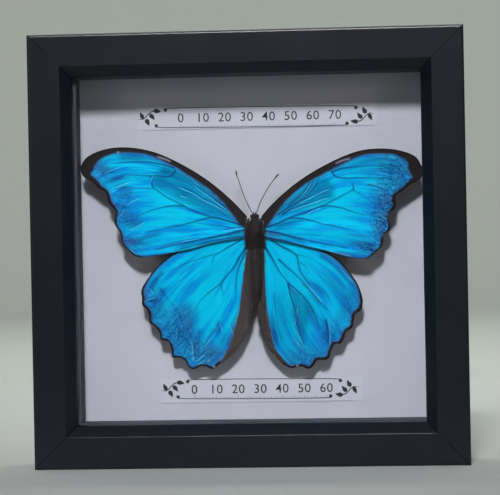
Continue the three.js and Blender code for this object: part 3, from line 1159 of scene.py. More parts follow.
@dataclass
class PrintedLabel:
    """A paper label with two rules, a vine sprig at each end and a plain scale between."""

    name: str
    node: str
    top_rule: tuple[Point, Point]
    bottom_rule: tuple[Point, Point]
    left_tip: Point
    right_tip: Point
    scale_from: float
    scale_count: int
    base_line: float
    numeral_height: float = 4.2
    paper_front: float = -26.7
    ink_gap: float = 0.004
    ink: float = 0.03
    rule_half: float = 0.17
    rule_lift: float = 0.78
    dot_radius: float = 0.78
    glyph_share: float = 0.72
    sprig_stem: tuple[Point, ...] = (
        (0, 0), (0.9, -0.35), (2.2, -0.3), (3.6, 0.6), (4.9, 2.0), (6.2, 2.95), (7.8, 3.35),
    )
    sprig_leaves: tuple[tuple[Point, Point, float, float], ...] = (
        ((7.2, 3.35), (10.7, 2.75), 0.98, 0.18), ((2.5, -0.1), (1.0, 2.95), 0.90, 0.1),
        ((3.4, -0.4), (5.0, -3.4), 1.0, 0.25), ((5.2, 1.75), (7.5, -0.9), 0.95, 0.3),
    )

    def _span(self) -> tuple[float, float]:
        """z of the ink's two faces."""
        floor = self.paper_front + self.ink_gap
        return floor, floor + self.ink

    def _rule(self, start: Point, end: Point, start_side: float, end_side: float) -> list[Surface]:
        """A rule that curls down or up into a dot at each end.

        Args:
            start, end: the dots' centres.
            start_side, end_side: which way the line leaves each dot, +1 above or -1 below it.

        Returns:
            The line and its two dots.
        """
        floor, ceiling = self._span()
        lift, curl, tuck, stations = self.rule_lift, 1.4, 0.8, 60
        (x0, y0), (x1, y1) = start, end
        knots = [
            (x0, y0 + start_side * lift * tuck), (x0 + curl, y0 + start_side * lift),
            (x1 - curl, y1 + end_side * lift), (x1, y1 + end_side * lift * tuck),
        ]
        path = smooth_path(knots, stations)
        line = flat_ribbon(path, np.full(stations, self.rule_half), floor, ceiling)
        return [line, *(dot(x, y, self.dot_radius, floor, ceiling) for x, y in (start, end))]

    def _leaf(self, foot: Point, tip: Point, width: float, bow: float) -> Surface:
        """A pointed leaf.

        Its middle line bows sideways by bow times 4u(1-u), and its half width is
        width * sin(pi * u^0.62), which is widest near the foot and sharp at the tip.

        Args:
            foot, tip: the ends of the leaf.
            width: greatest half width.
            bow: sideways bow of the middle line.

        Returns:
            The leaf as a thin plate.
        """
        floor, ceiling = self._span()
        u = np.linspace(0, 1, 22)
        a, b = np.array(foot), np.array(tip)
        side = np.array([-(b - a)[1], (b - a)[0]]) / np.linalg.norm(b - a)
        path = a + (b - a) * u[:, None] + side * (bow * 4 * u * (1 - u))[:, None]
        half = width * np.sin(math.pi * u**0.62) + 0.02
        return flat_ribbon(path, half, floor, ceiling)

    def _sprig(self, tip: Point, turn: float) -> list[Surface]:
        """Stem with four leaves.

        Args:
            tip: the stem's outer end.
            turn: +1 for the left sprig, -1 for it turned half round.

        Returns:
            The stem and its leaves.
        """
        floor, ceiling = self._span()
        run = np.linspace(0, 1, 40)
        half = np.interp(run, [0, 0.3, 1], [0.07, 0.2, 0.24])
        stem = flat_ribbon(smooth_path(self.sprig_stem, len(run)), half, floor, ceiling)
        parts = [stem, *(self._leaf(*leaf) for leaf in self.sprig_leaves)]
        for part in parts:
            part.points[:, :2] = part.points[:, :2] * turn + tip
        return parts

    def _ticks(self) -> list[Surface]:
        """Scale ticks that stand on the lower rule, longer at every fifth and tenth.

        Returns:
            A ribbon for each tick.
        """
        floor, ceiling = self._span()
        (x0, y0), (x1, y1) = self.bottom_rule
        tenth, fifth, single, half_width = 1.25, 0.9, 0.55, 0.07
        ticks = []
        for n in range((self.scale_count - 1) * 10 + 1):
            x = self.scale_from + n
            foot = y0 + (y1 - y0) * (x - x0) / (x1 - x0) - self.rule_lift
            tall = tenth if n % 10 == 0 else fifth if n % 5 == 0 else single
            path = np.array([[x, foot], [x, foot + tall / 2], [x, foot + tall]])
            ticks.append(flat_ribbon(path, np.full(3, half_width), floor, ceiling))
        return ticks

    def _numeral(self, text: str, x: float) -> Surface:
        """Numbers in the plain built-in face, welded into a closed plate.

        Args:
            text: the figures.
            x: middle of the figures.

        Returns:
            The plate in picture space.
        """
        curve = bpy.data.curves.new("numeral", "FONT")
        curve.body = text
        curve.size = self.numeral_height / self.glyph_share
        curve.space_character = 1.08
        curve.offset = 0.011
        curve.align_x = "CENTER"
        curve.resolution_u = 4
        curve.extrude = self.ink / 2
        holder = add_object("numeral", curve)
        made = bpy.data.meshes.new_from_object(holder.evaluated_get(bpy.context.evaluated_depsgraph_get()))
        bpy.data.objects.remove(holder)
        work = bmesh.new()
        work.from_mesh(made)
        bmesh.ops.remove_doubles(work, verts=work.verts, dist=1e-4)
        bmesh.ops.recalc_face_normals(work, faces=work.faces)
        work.verts.index_update()
        points = np.array([v.co for v in work.verts])
        faces = [[v.index for v in face.verts] for face in work.faces]
        work.free()
        bpy.data.meshes.remove(made)
        floor, _ = self._span()
        return Surface(points + (x, self.base_line, floor + self.ink / 2), faces, smooth=False)

    def build(self, shop: Workshop) -> None:
        """Dresses the paper and prints it.

        Args:
            shop: the workshop that places the pieces.
        """
        shop.dress(LABEL_PAPER, [self.node])
        parts = self._rule(*self.top_rule, 1, 1) + self._rule(*self.bottom_rule, -1, -1)
        parts += self._sprig(self.left_tip, 1) + self._sprig(self.right_tip, -1) + self._ticks()
        parts += [self._numeral(str(10 * n), self.scale_from + 10 * n) for n in range(self.scale_count)]
        shop.place(f"{self.name}_print", join_surfaces(parts), [INK], Slot.LABEL)


# ---------------------------------------------------------------- wings


@dataclass(frozen=True)
class Patch:
    """An oval zone of a wing: middle, half sizes, turn in degrees and strength."""

    x: float
    y: float
    long: float
    wide: float
    turn: float = 0.0
    strength: float = 1.0

    def mask(self, points: Array) -> Array:
        """Strength times the bell curve of the turned and scaled distance.

        Args:
            points: N by 2 points.

        Returns:
            N values.
        """
        a = math.radians(self.turn)
        dx, dy = points[:, 0] - self.x, points[:, 1] - self.y
        u = (dx * math.cos(a) + dy * math.sin(a)) / self.long
        v = (dy * math.cos(a) - dx * math.sin(a)) / self.wide
        return self.strength * np.exp(-(u * u + v * v) ** 1.4)


def zones(*rows: tuple[float, ...]) -> tuple[Patch, ...]:
    """Patches from rows of x, y, long, wide, turn and strength."""
    return tuple(Patch(*row) for row in rows)


def painted(patches: Sequence[Patch], points: Array, ground: float | Array = 0.0) -> Array:
    """Sum of the patches' masks over a ground value."""
    return sum((patch.mask(points) for patch in patches), np.zeros(len(points)) + ground)


@dataclass(frozen=True)
class WingMarks:
    """What is drawn on a wing, in right-side coordinates from the thorax.

    Bands are rows of place along the edge, from 0 to 1, and width. The vein styles are the
    widths and the strengths of strong, middle and faint veins.
    """

    strong_veins: tuple[Path, ...] = ()
    veins: tuple[Path, ...] = ()
    faint_veins: tuple[Path, ...] = ()
    # Pleats stand up as ridges with a painted highlight along the crest and painted shade beside it.
    pleats: tuple[Path, ...] = ()
    strong_highlight_pleats: tuple[Path, ...] = ()
    # Folds are dark streaks of painted shade along creases.
    folds: tuple[Path, ...] = ()
    deep: tuple[Patch, ...] = ()
    dull: tuple[Patch, ...] = ()
    violet: tuple[Patch, ...] = ()
    lagoon: tuple[Patch, ...] = ()
    crinkled: tuple[Patch, ...] = ()
    pale: tuple[Path, ...] = ()
    dull_areas: tuple[Path, ...] = ()
    deep_areas: tuple[Path, ...] = ()
    flecks: tuple[Point, ...] = ()
    blue_edge: Path = ()
    lead_band: Path = ((0, 3.0), (1, 2.0))
    outer_band: Path = ((0, 2.0), (1, 1.5))
    inner_band: float = 0.3
    fringe: float = 0.9
    fringe_strength: float = 0.75
    fold_shade_strength: float = 0.75
    area_strength: float = 0.55
    vein_styles: tuple[tuple[float, ...], ...] = ((0.55, 0.42, 0.34), (1.0, 0.95, 0.6))


@dataclass
class Wing:
    """One wing: a Coons patch between four edges, with relief and painted masks."""

    name: str
    node: str
    side: Side
    lead: Path
    outer: Path
    inner: Path
    root: Path
    base: float
    span: float
    marks: WingMarks
    seed: int
    outward: float = 0.0
    downward: float = 0.0
    across: int = 170
    out: int = 250
    thickness: float = 0.3
    edge_thickness: float = 0.1

    def lift(self, x: Array, y: Array) -> Array:
        """Height of the flat wing over the card: base + outward * x - downward * y."""
        return self.base + self.outward * x - self.downward * y

    def _patch(self) -> tuple[Array, Array, Array]:
        """The flat wing as a Coons patch.

        Each point is the blend of the two long edges plus the blend of root and outer
        margin, less the bilinear blend of the four corners. Rows run from the leading edge
        to the inner margin and columns from the root out, closer together at the margin.

        Returns:
            Grid of points (across, out, 2), and the parameters s and t on the same grid.
        """
        s = np.linspace(0, 1, self.across)
        u = np.linspace(0, 1, self.out)
        t = u * (1.3 - 0.3 * u)
        lead, inner = (along(catmull_rom(edge), t) for edge in (self.lead, self.inner))
        root, outer = (along(catmull_rom(edge), s) for edge in (self.root, self.outer))
        sg, tg = np.meshgrid(s, t, indexing="ij")
        a, b = sg[..., None], tg[..., None]
        sides = (1 - a) * lead[None] + a * inner[None] + (1 - b) * root[:, None] + b * outer[:, None]
        near = (1 - a) * (1 - b) * root[0] + a * (1 - b) * root[-1]
        corners = near + (1 - a) * b * outer[0] + a * b * outer[-1]
        return sides - corners, sg, tg

    def _strokes(self, flat: Array, paths: Sequence[Path], width: float, fade: bool = True) -> Array:
        """Greatest bell of the distance to any path, thinned towards the path's far end.

        Args:
            flat: N by 2 points.
            paths: the strokes' middle lines.
            width: width of the bell.
            fade: thins each stroke.

        Returns:
            N values from 0 to 1.
        """
        value = np.zeros(len(flat))
        for path in paths:
            gap, where, _ = nearest_on_path(flat, smooth_path(path, 26))
            taper = 1 - 0.35 * where if fade else 1.0
            value = np.maximum(value, bell(gap, width * taper) * taper)
        return value

    def _folds(
        self, flat: Array, paths: Sequence[Path], width: float, offset: float
    ) -> tuple[Array, Array]:
        """Light crests along paths, and the shade beside them on the inner side.

        Args:
            flat: N by 2 points.
            paths: the folds' middle lines.
            width: width of a crest.
            offset: distance from a crest to its shade.

        Returns:
            Painted highlight and painted shade, N values each.
        """
        crest_highlight, shade = np.zeros(len(flat)), np.zeros(len(flat))
        for path in paths:
            gap, where, signed = nearest_on_path(flat, smooth_path(path, 22))
            ends = smoothstep(0, 0.12, where) * smoothstep(0, 0.12, 1 - where)
            crest_highlight = np.maximum(crest_highlight, bell(gap, width) * ends)
            near = bell(np.abs(signed) - offset, width * 1.1) * (signed < 0)
            shade = np.maximum(shade, near * ends)
        return crest_highlight, shade

    def _band(
        self, gap: Array, where: Array, widths: Path, wobble: Array, soft: float, extra: float = 0.0
    ) -> Array:
        """Border zone along an edge whose width changes along it, with a frayed inner side.

        Args:
            gap: distances from the edge.
            where: places along the edge, from 0 to 1.
            widths: rows of place and width.
            wobble: change of the width, as a share of it.
            soft: softness of the inner side.
            extra: what every width gains.

        Returns:
            N values from 0 to 1.
        """
        knots = np.asarray(widths, float)
        width = np.interp(where, knots[:, 0], knots[:, 1] + extra) * (1 + wobble)
        return 1 - smoothstep(width - soft, width + soft, gap)

    def _masks(self, flat: Array) -> dict[str, Array]:
        """Every painted zone of the wing at its points.

        Args:
            flat: N by 2 points.

        Returns:
            Mask name to N values from 0 to 1.
        """
        m = self.marks
        lead, outer, inner = (smooth_path(edge, 90) for edge in (self.lead, self.outer, self.inner))
        lead_gap, lead_at, _ = nearest_on_path(flat, lead)
        outer_gap, outer_at, _ = nearest_on_path(flat, outer)
        inner_gap, _, _ = nearest_on_path(flat, inner)
        fray = lattice_noise(flat[:, 0] * 0.9, flat[:, 1] * 0.9, self.seed)
        fray = fray + 0.6 * lattice_noise(flat[:, 0] * 2.3, flat[:, 1] * 2.3, self.seed + 1)
        border = np.maximum(
            self._band(lead_gap, lead_at, m.lead_band, 0.05 * fray, 0.65),
            self._band(outer_gap, outer_at, m.outer_band, 0.16 * fray, 0.35),
        )
        border = np.maximum(border, 1 - smoothstep(m.inner_band * 0.5, m.inner_band * 1.5, inner_gap))
        border = np.maximum(border, 0.8 * bell(np.maximum(flat[:, 0] - 3.6, 0), 0.8))
        fringe = np.maximum(
            self._band(outer_gap, outer_at, m.outer_band, 0.2 * fray, 0.9, m.fringe),
            0.8 * self._band(lead_gap, lead_at, m.lead_band, 0.1 * fray, 0.8, m.fringe),
        )
        # Pleats: a painted highlight along each crest and painted shade beside it, also used as relief.
        crest_highlight, shade = self._folds(flat, m.pleats, 0.24, 0.5)
        bright, strong_highlight_shade = self._folds(flat, m.strong_highlight_pleats, 0.34, 0.7)
        vein = np.zeros(len(flat))
        for paths, width, strength in zip((m.strong_veins, m.veins, m.faint_veins), *m.vein_styles):
            vein = np.maximum(vein, strength * self._strokes(flat, paths, width))
        # Painted shade: dark streaks along the folds join the deep zones.
        fold_shade = m.fold_shade_strength * self._strokes(flat, m.folds, 1.1, fade=False)
        deep = np.maximum(painted(m.deep, flat), fold_shade)
        for area in m.deep_areas:
            deep = np.maximum(deep, m.area_strength * inside_polygon(flat, area, 3.0))
        dull = painted(m.dull, flat)
        for area in m.dull_areas:
            dull = np.maximum(dull, inside_polygon(flat, area, 1.8))
        brown = np.zeros(len(flat))
        if len(m.blue_edge):
            edge = np.asarray(m.blue_edge)[::-1]
            reach = np.interp(flat[:, 1], edge[:, 1], edge[:, 0])
            brown = 1 - smoothstep(reach - 0.5, reach + 0.4, flat[:, 0] + 0.25 * fray)
        lead_rim = 1 - smoothstep(0.25, 0.75, lead_gap)
        masks = {
            "border": border,
            "black": np.maximum(lead_rim, 0.85 * (1 - smoothstep(0.3, 0.9, outer_gap))),
            "vein": vein,
            "pleat": np.maximum(crest_highlight * 0.8, bright),
            "pleat_shade": np.maximum(shade, strong_highlight_shade),
            "deep": deep,
            "dull": dull,
            "violet": painted(m.violet, flat, m.fringe_strength * fringe),
            "lagoon": painted(m.lagoon, flat),
            "crinkle": painted(m.crinkled, flat),
            # Painted sheen: brighter blue away from the outer margin.
            "glow": 1 - 0.7 * np.exp(-outer_gap / 9.0),
            "brown": brown,
            "pale": self._strokes(flat, m.pale, 0.4, fade=False) * 0.6,
        }
        for x, y in m.flecks:
            fleck = bell(np.hypot(flat[:, 0] - x, flat[:, 1] - y), 0.42)
            masks["pale"] = np.maximum(masks["pale"], fleck)
        return {key: np.clip(value, 0, 1) for key, value in masks.items()}

    def _relief(self, s: Array, t: Array, masks: dict[str, Array]) -> Array:
        """Height above the flat wing, in millimetres.

        Veins and pleats stand up as ridges, the membrane sags between them, and creases and
        the margin's curl are noise drawn out along the veins.

        Args:
            s, t: the patch parameters.
            masks: the painted zones.

        Returns:
            N heights.
        """
        vein_rise, pleat_rise, groove = 0.10, 0.14, 0.12
        sag_depth, crease_height, fine_height, curl_height = 0.16, 0.30, 0.14, 0.25
        ridges = vein_rise * masks["vein"] + pleat_rise * masks["pleat"] - groove * masks["pleat_shade"]
        sag = sag_depth * lattice_noise(s * 9, t * 2.2, self.seed + 5)
        crease = lattice_noise(s * self.span * 0.55, t * self.span * 0.24, self.seed + 6)
        fine = lattice_noise(s * self.span * 1.05, t * self.span * 0.45, self.seed + 7)
        crinkled = masks["crinkle"] * (crease_height * (1 - 2 * np.abs(crease)) + fine_height * fine)
        rooted = smoothstep(0.02, 0.25, t)
        curl = curl_height * lattice_noise(s * 13, t * 2, self.seed + 8) * smoothstep(0.8, 1.0, t)
        return ridges * smoothstep(0, 0.06, t) + (sag + crinkled + curl) * rooted

    def surface(self) -> Surface:
        """The wing as a closed shell: front sheet, back sheet and the rim between them.

        Returns:
            The shell in picture space.
        """
        grid, sg, tg = self._patch()
        flat, s, t = grid.reshape(-1, 2), sg.ravel(), tg.ravel()
        masks = self._masks(flat)
        top = self.lift(flat[:, 0], flat[:, 1]) + self._relief(s, t, masks)
        rim = np.minimum.reduce([s * self.span, (1 - s) * self.span, (1 - t) * self.span])
        thick = self.edge_thickness + (self.thickness - self.edge_thickness) * smoothstep(0, 2.5, rim)
        x = flat[:, 0] * self.side.value
        front = np.column_stack([x, flat[:, 1], top])
        back = np.column_stack([x, flat[:, 1], top - thick])
        flip = self.side is Side.LEFT
        quads = grid_faces(self.across, self.out, flip)
        count = len(flat)
        loop = rim_loop(self.across, self.out)
        ahead = np.roll(loop, -1)
        walls = np.column_stack([ahead, loop, loop + count, ahead + count])
        walls = walls[:, ::-1] if flip else walls
        faces = np.vstack([quads, quads[:, ::-1] + count, walls])
        finish = np.concatenate([np.zeros(len(quads)), np.ones(len(quads)), np.zeros(len(walls))])
        uv = np.column_stack([s, t])
        both = {key: np.tile(value, 2) for key, value in masks.items()}
        points = MOUNTING.place(np.vstack([front, back]))
        return Surface(points, faces.tolist(), both, np.vstack([uv, uv]), finish)

    def build(self, shop: Workshop) -> None:
        """Makes the wing in place of its CAD node."""
        shop.place(self.name, self.surface(), [SCALES, UNDERSIDE], Slot.WING, [self.node])


LEFT_FORE_MARKS = WingMarks(
    strong_veins=(
        ((4, 0.3), (7.3, 1.8), (16, 4.6), (21.2, 5.9), (29, 9), (34.2, 11.9), (39.9, 14.8), (46.4, 19.5)),
        ((4.2, -0.6), (11.6, -2.3), (18.1, -3.5), (26.7, -5.1), (37.5, -6.9), (45.2, -8.8)),
    ),
    veins=(
        ((46.4, 19.5), (46.9, 21.4), (46, 23.8)),
        ((16.5, 4.7), (20.2, 5.1), (25.4, 4.1), (31, 2.6), (37.5, 1.4), (43.6, 0.3), (50, -0.9)),
        ((31.5, 10.4), (35, 10.9), (39.9, 10.8), (44.3, 9.8), (48.2, 8.8), (54, 6.4)),
        ((35.8, 27.2), (36.8, 25.4), (39.5, 24.3), (44, 24.7), (50.5, 25), (57, 25.3)),
        ((36.5, 28.2), (41.8, 29.9), (47, 31), (54.8, 31.5), (63.5, 30.8)),
        ((4.5, -3.6), (12, -4.3), (21, -5.8), (30, -7.9), (37, -9.6)),
    ),
    faint_veins=(
        ((46, 19), (52, 19.2), (59, 20), (64, 19.2)),
        ((36.6, 25.7), (39.2, 26.4), (43.6, 26.6), (50.5, 26.2)), ((7, 0), (18, 1.5), (26.5, 2.8)),
        ((70, 25.4), (64.5, 27.4), (58, 29)),
    ),
    pleats=(
        ((28, 20.2), (24, 17), (20, 14), (15, 10), (10.5, 6.4)),
        ((35.5, 19.5), (29.5, 16.9), (24.2, 13.6), (17.7, 10.3), (12.5, 6.6)),
        ((28.3, 23), (26.8, 21.2), (25.3, 19.8)), ((34, 15.3), (31, 14.2)),
        ((43.2, -8.4), (38, -7), (30.6, -5.3), (25, -4.7)), ((14.5, -1.5), (9.5, -0.5), (5, -0.5)),
        ((63, 5.6), (61.2, 7.6), (59.9, 9.6)), ((59, 11.6), (56, 13.2), (52, 14.8)),
        ((57.8, 0.2), (54, 1.4), (50.3, 3.9)), ((64.5, 19.3), (60, 21), (55.8, 22.4)),
        ((70.5, 24.6), (67, 27), (62, 28.8)), ((47.4, 21.5), (47.2, 23), (46.3, 24.4)),
        ((58.7, -8.3), (56.4, -9.6), (54.5, -11)),
    ),
    deep=zones(
        (69.4, 28.2, 4.2, 1.7, 6, 0.75), (62.9, 23.9, 4.8, 1.35, -12, 1), (59.2, 18.2, 3.6, 2.5, 10, 0.85),
        (60.5, 15.6, 4.6, 1, 8, 0.5), (61.8, 11.3, 3.4, 0.9, 12, 0.9), (57.4, 4.9, 5.2, 3.2, 16, 0.85),
        (56.4, -5, 5.6, 1.6, 4, 1), (48.4, -2.8, 5.4, 1, -10, 0.75), (50, -12.1, 7, 0.8, -5, 0.9),
        (15, 12.5, 9, 1.8, 44, 0.45), (57, 34.6, 6, 1.1, -2, 0.5),
    ),
    violet=zones((70.6, 28.2, 3, 3.4, 0, 0.5), (58.5, -5.3, 4, 1.6, 0, 0.7)),
    dull_areas=(
        (
            (6, 2), (17.5, 5.5), (34.5, 13.2), (46, 20), (46, 23.5), (41, 29.5), (30, 25), (18, 16.5),
            (8, 7.5),
        ),
        ((37, 28.5), (43, 31.5), (52, 34.8), (61, 35), (62, 32), (54.5, 31.8), (47, 31.3)),
        ((5, -4.2), (5, -0.8), (12, -2), (24, -4.6), (34, -6.6), (34, -8.6), (22, -6)),
    ),
    crinkled=zones((69, 27, 6, 8, 0, 0.3), (61, 8, 5, 11, 0, 0.45), (55, -7, 6, 5, 0, 0.45)),
    pale=(((43.8, 33.3), (41, 32.4), (38.4, 31.3)),),
    flecks=((62.2, 35.9),),
    lead_band=(
        (0, 5), (0.06, 4.3), (0.14, 3.3), (0.24, 2.9), (0.38, 3), (0.44, 2.5), (0.5, 2.5), (0.62, 1.9),
        (0.73, 2.4), (0.8, 2.6), (0.87, 3.6), (0.93, 5.2), (1, 6),
    ),
    outer_band=(
        (0, 6), (0.06, 5.5), (0.15, 2.6), (0.2, 1.8), (0.31, 1.1), (0.4, 1.5), (0.5, 0.75), (0.6, 1),
        (0.69, 0.7), (0.8, 0.6), (1, 0.45),
    ),
)

RIGHT_FORE_MARKS = WingMarks(
    strong_veins=(
        ((5, 0.3), (10.8, 2.1), (15, 4), (20.6, 6), (26.5, 8), (32.9, 10.5), (39.3, 13.7), (45.1, 16.5)),
        ((4.7, -1.4), (10.6, -2.4), (16.5, -4.2), (23.7, -6), (31.7, -7.6), (42, -9.8)),
    ),
    veins=(
        ((45.1, 16.4), (45.3, 17.8), (44.6, 19.8)),
        ((15.5, 4.1), (20.1, 4.2), (26.5, 2.8), (30.7, 1.4), (36.2, 0.3), (43, -1.2)),
        ((29.5, 9.1), (33.8, 9.5), (39.3, 8.5), (43.5, 7.1), (50, 4.9)),
        ((35.4, 24.8), (37.5, 22.7), (41.8, 22), (48.2, 22), (54.6, 21.8), (59, 21.2)),
        ((35.4, 24.8), (39.7, 26.3), (43.9, 26.8), (50.3, 27.2), (56.7, 27.3), (61, 27)),
        ((5, -4.2), (13, -5.9), (20, -7.8), (27, -9.6), (33, -10.9)),
        ((10.8, 6), (15.9, 9.9), (20.6, 13.6), (24, 17.8), (26.7, 21.1)),
        ((12.9, 6.2), (18.9, 10.4), (24.4, 14.8), (27.6, 18.6), (29.4, 22)),
    ),
    faint_veins=(
        ((44.5, 16.5), (49.5, 14), (54, 10.5)), ((10, 0.6), (16, 2.2), (22, 3.2)),
        ((52, 19), (57, 17.4), (61, 15.8)),
    ),
    pleats=(
        ((26.3, 20.7), (24.7, 17.8), (22.3, 14.9), (19.4, 12.3), (14.5, 9)),
        ((28.6, 21.6), (26.6, 17.9), (23.2, 13.8), (18.9, 10.1), (13, 6.9)),
        ((34.9, 17.1), (30.9, 15.6), (26.6, 13.7), (19.7, 10.2)),
        ((34.5, 13.2), (30, 11.8), (26.5, 10.6), (20.6, 8.8), (15.5, 6.9)),
        ((30.9, 8.5), (26.5, 7.2), (22.2, 4.7)), ((7.5, -1), (5.5, -0.5)),
        ((55, 6.8), (57.5, 4.6), (59.5, 2.6)), ((33, -11.2), (38, -12.3), (44, -13.9)),
        ((50.8, 19.2), (55.5, 18.4), (60, 16.6)), ((61, 31.2), (66, 29), (69, 26.4)),
    ),
    deep=zones(
        (54, 25, 12, 2.6, -4, 0.35), (60.5, 10.5, 3.6, 5, 0, 0.8), (57.8, 0.5, 3, 6.5, 0, 0.8),
        (48, -8.4, 6.5, 1.6, -8, 0.95), (45, -13.2, 8, 1.1, -10, 0.95), (53.5, -11, 4.5, 2.2, -14, 0.85),
        (48.5, -4.5, 6, 0.9, -6, 0.6), (66, 18.2, 5, 3, -30, 0.7), (58, 30.6, 9, 1.1, -8, 0.5),
        (66.5, 25.6, 4.5, 1.6, -30, 0.7), (55.5, 13, 4, 6, 0, 0.35),
    ),
    violet=zones(
        (59.5, 11.8, 2.6, 3.2, 0, 0.7), (58.2, 4.2, 2, 2.8, 0, 0.85), (57.4, -1, 2.6, 3.2, 0, 0.6),
        (68, 24.5, 3, 4, -25, 0.4), (39, -12.6, 6, 0.8, -14, 0.8), (7, -3, 4, 1.6, -8, 0.6),
    ),
    dull=zones((12, 1.5, 9, 2.6, 14, 0.7)),
    dull_areas=(
        ((7, 3), (20, 7), (36, 12.8), (37, 17), (33, 22.5), (27, 21.5), (18, 14.5), (9, 7)),
        ((36, 25.6), (42, 28.5), (52, 31), (60, 31), (56, 28), (47, 27.6)),
        ((5, -4.2), (5, -0.5), (14, -2.2), (22, -4.8), (22, -7)),
    ),
    lagoon=zones((30, 0, 18, 6, -6, 0.4), (40, 21, 6, 3, 0, 0.4)),
    crinkled=zones(
        (65, 20, 9, 10, 0, 1), (59, 3, 6, 11, 0, 1), (54, -10, 7, 4.5, 0, 1), (66, 29, 8, 4, 0, 0.8),
    ),
    pale=(((37.7, 28.8), (39.8, 29.7), (43.5, 30.7)),),
    flecks=((65, 13), (61, 4.6), (60.9, 3.7), (58.6, -4.6)),
    lead_band=(
        (0, 5), (0.06, 4.3), (0.13, 3.5), (0.27, 2.8), (0.4, 3.2), (0.52, 3.1), (0.64, 2.3), (0.75, 2.4),
        (0.82, 2.3), (0.88, 3.4), (0.94, 5.5), (1, 6.3),
    ),
    outer_band=(
        (0, 6.3), (0.08, 5.6), (0.13, 3), (0.2, 1.4), (0.28, 1.1), (0.34, 1.4), (0.4, 2), (0.46, 1.4),
        (0.53, 0.4), (0.6, 0.6), (0.65, 1.1), (0.72, 0.4), (0.79, 1.1), (0.85, 0.7), (0.92, 0.3), (1, 0.3),
    ),
)

LEFT_HIND_MARKS = WingMarks(
    strong_veins=(
        ((4.3, -8.8), (7.6, -13.5), (9.9, -17.4), (13.5, -21.7), (16.4, -25), (19.3, -27.3), (22.5, -29.6)),
    ),
    veins=(
        ((6.7, -5.4), (11.7, -8.1), (16.7, -11), (19.2, -12.6), (19.9, -15.5)),
        ((4.5, -11), (6.8, -15.5), (8.4, -19.5), (9.3, -23.8), (10, -28.8)),
    ),
    faint_veins=(
        ((17, -11), (24, -13), (31, -15.2), (40, -19)), ((22.5, -29.6), (26, -33), (29, -38)),
        ((16.2, -25), (15.6, -28), (15.4, -31)), ((44.5, -26.5), (41, -31), (38, -35)),
    ),
    folds=(
        ((19.6, -46.2), (22.2, -49.8), (24.5, -54.8)), ((27, -46.5), (27, -53), (28, -58)),
        ((43.5, -19.8), (47.2, -24), (49.6, -28)),
    ),
    pleats=(
        ((21.2, -50.2), (22.9, -52.4), (24.1, -54.6)), ((34.5, -58.6), (32.8, -57), (32.2, -54.8)),
        ((36.8, -44.5), (36.9, -48), (37.4, -51.5)), ((51.5, -32.8), (48.5, -31.4), (46.4, -31)),
        ((17, -43.5), (15.9, -46.6)), ((12.6, -43.5), (11.8, -46), (11.4, -48.5)),
        ((49.4, -26.5), (46.4, -30)), ((40.5, -38.5), (41.3, -36)),
    ),
    strong_highlight_pleats=(
        ((28.6, -61), (26, -58.9), (24.3, -57.4)), ((27.6, -62.1), (25.6, -61), (24, -59.8)),
        ((30.3, -50.8), (29.9, -55), (29.5, -60.8)),
    ),
    deep=zones(
        (46.5, -33, 4.5, 9, 0, 0.4), (42, -44, 5, 6, 0, 0.35), (47, -24, 5.2, 1.3, -53, 0.8),
        (42.9, -28.6, 1.4, 2.2, 0, 0.6), (47.6, -32.6, 3, 1.2, 10, 0.85), (28.5, -53, 4, 5.5, 20, 0.6),
        (12.2, -50.5, 1.6, 6.5, 14, 0.7), (17.9, -45.6, 1.5, 3.4, 6, 0.9), (15.5, -52, 2, 5, 10, 0.5),
        (37.5, -43, 1.6, 8, 0, 0.6),
    ),
    deep_areas=(
        (
            (39, -34.8), (30, -34), (27.8, -38), (27.6, -46), (29.6, -52), (34.5, -52.5), (38.5, -46),
            (40, -40),
        ),
        ((27.5, -52), (22, -51.5), (16.5, -53.5), (14.8, -57), (18, -60.6), (24, -61.2), (27, -58)),
    ),
    violet=zones(
        (20, -57.5, 7, 3.6, 14, 0.55), (32.4, -43.6, 2.2, 5, -6, 0.45), (28.6, -54.5, 2, 4, 0, 0.5),
        (11, -47, 0.9, 9, 14, 0.6), (51, -30, 1, 4, 0, 0.6),
    ),
    lagoon=zones((16, -14, 13, 12, 0, 0.9)),
    crinkled=zones(
        (37, -50, 11, 9, 40, 0.85), (24, -58, 8, 5, 0, 0.55), (47, -36, 5, 8, 0, 0.6),
        (35, -38, 6, 4, 0, 0.5),
    ),
    flecks=((48.2, -44.1), (12.9, -58.2), (9.4, -54.1), (8.5, -53.1), (22.6, -60.3), (20, -63.2)),
    blue_edge=(
        (3.5, -7.5), (4.6, -14), (5.6, -20), (6.2, -25), (7, -30), (7.7, -35), (8.7, -40), (10.1, -45),
        (11.5, -50), (13.7, -55), (17.2, -60.5),
    ),
    lead_band=((0, 0.25), (0.5, 0.35), (0.85, 0.45), (1, 1)),
    outer_band=((0, 1.1), (0.12, 1.2), (0.3, 1), (0.6, 0.8), (0.85, 0.8), (1, 1.3)),
)

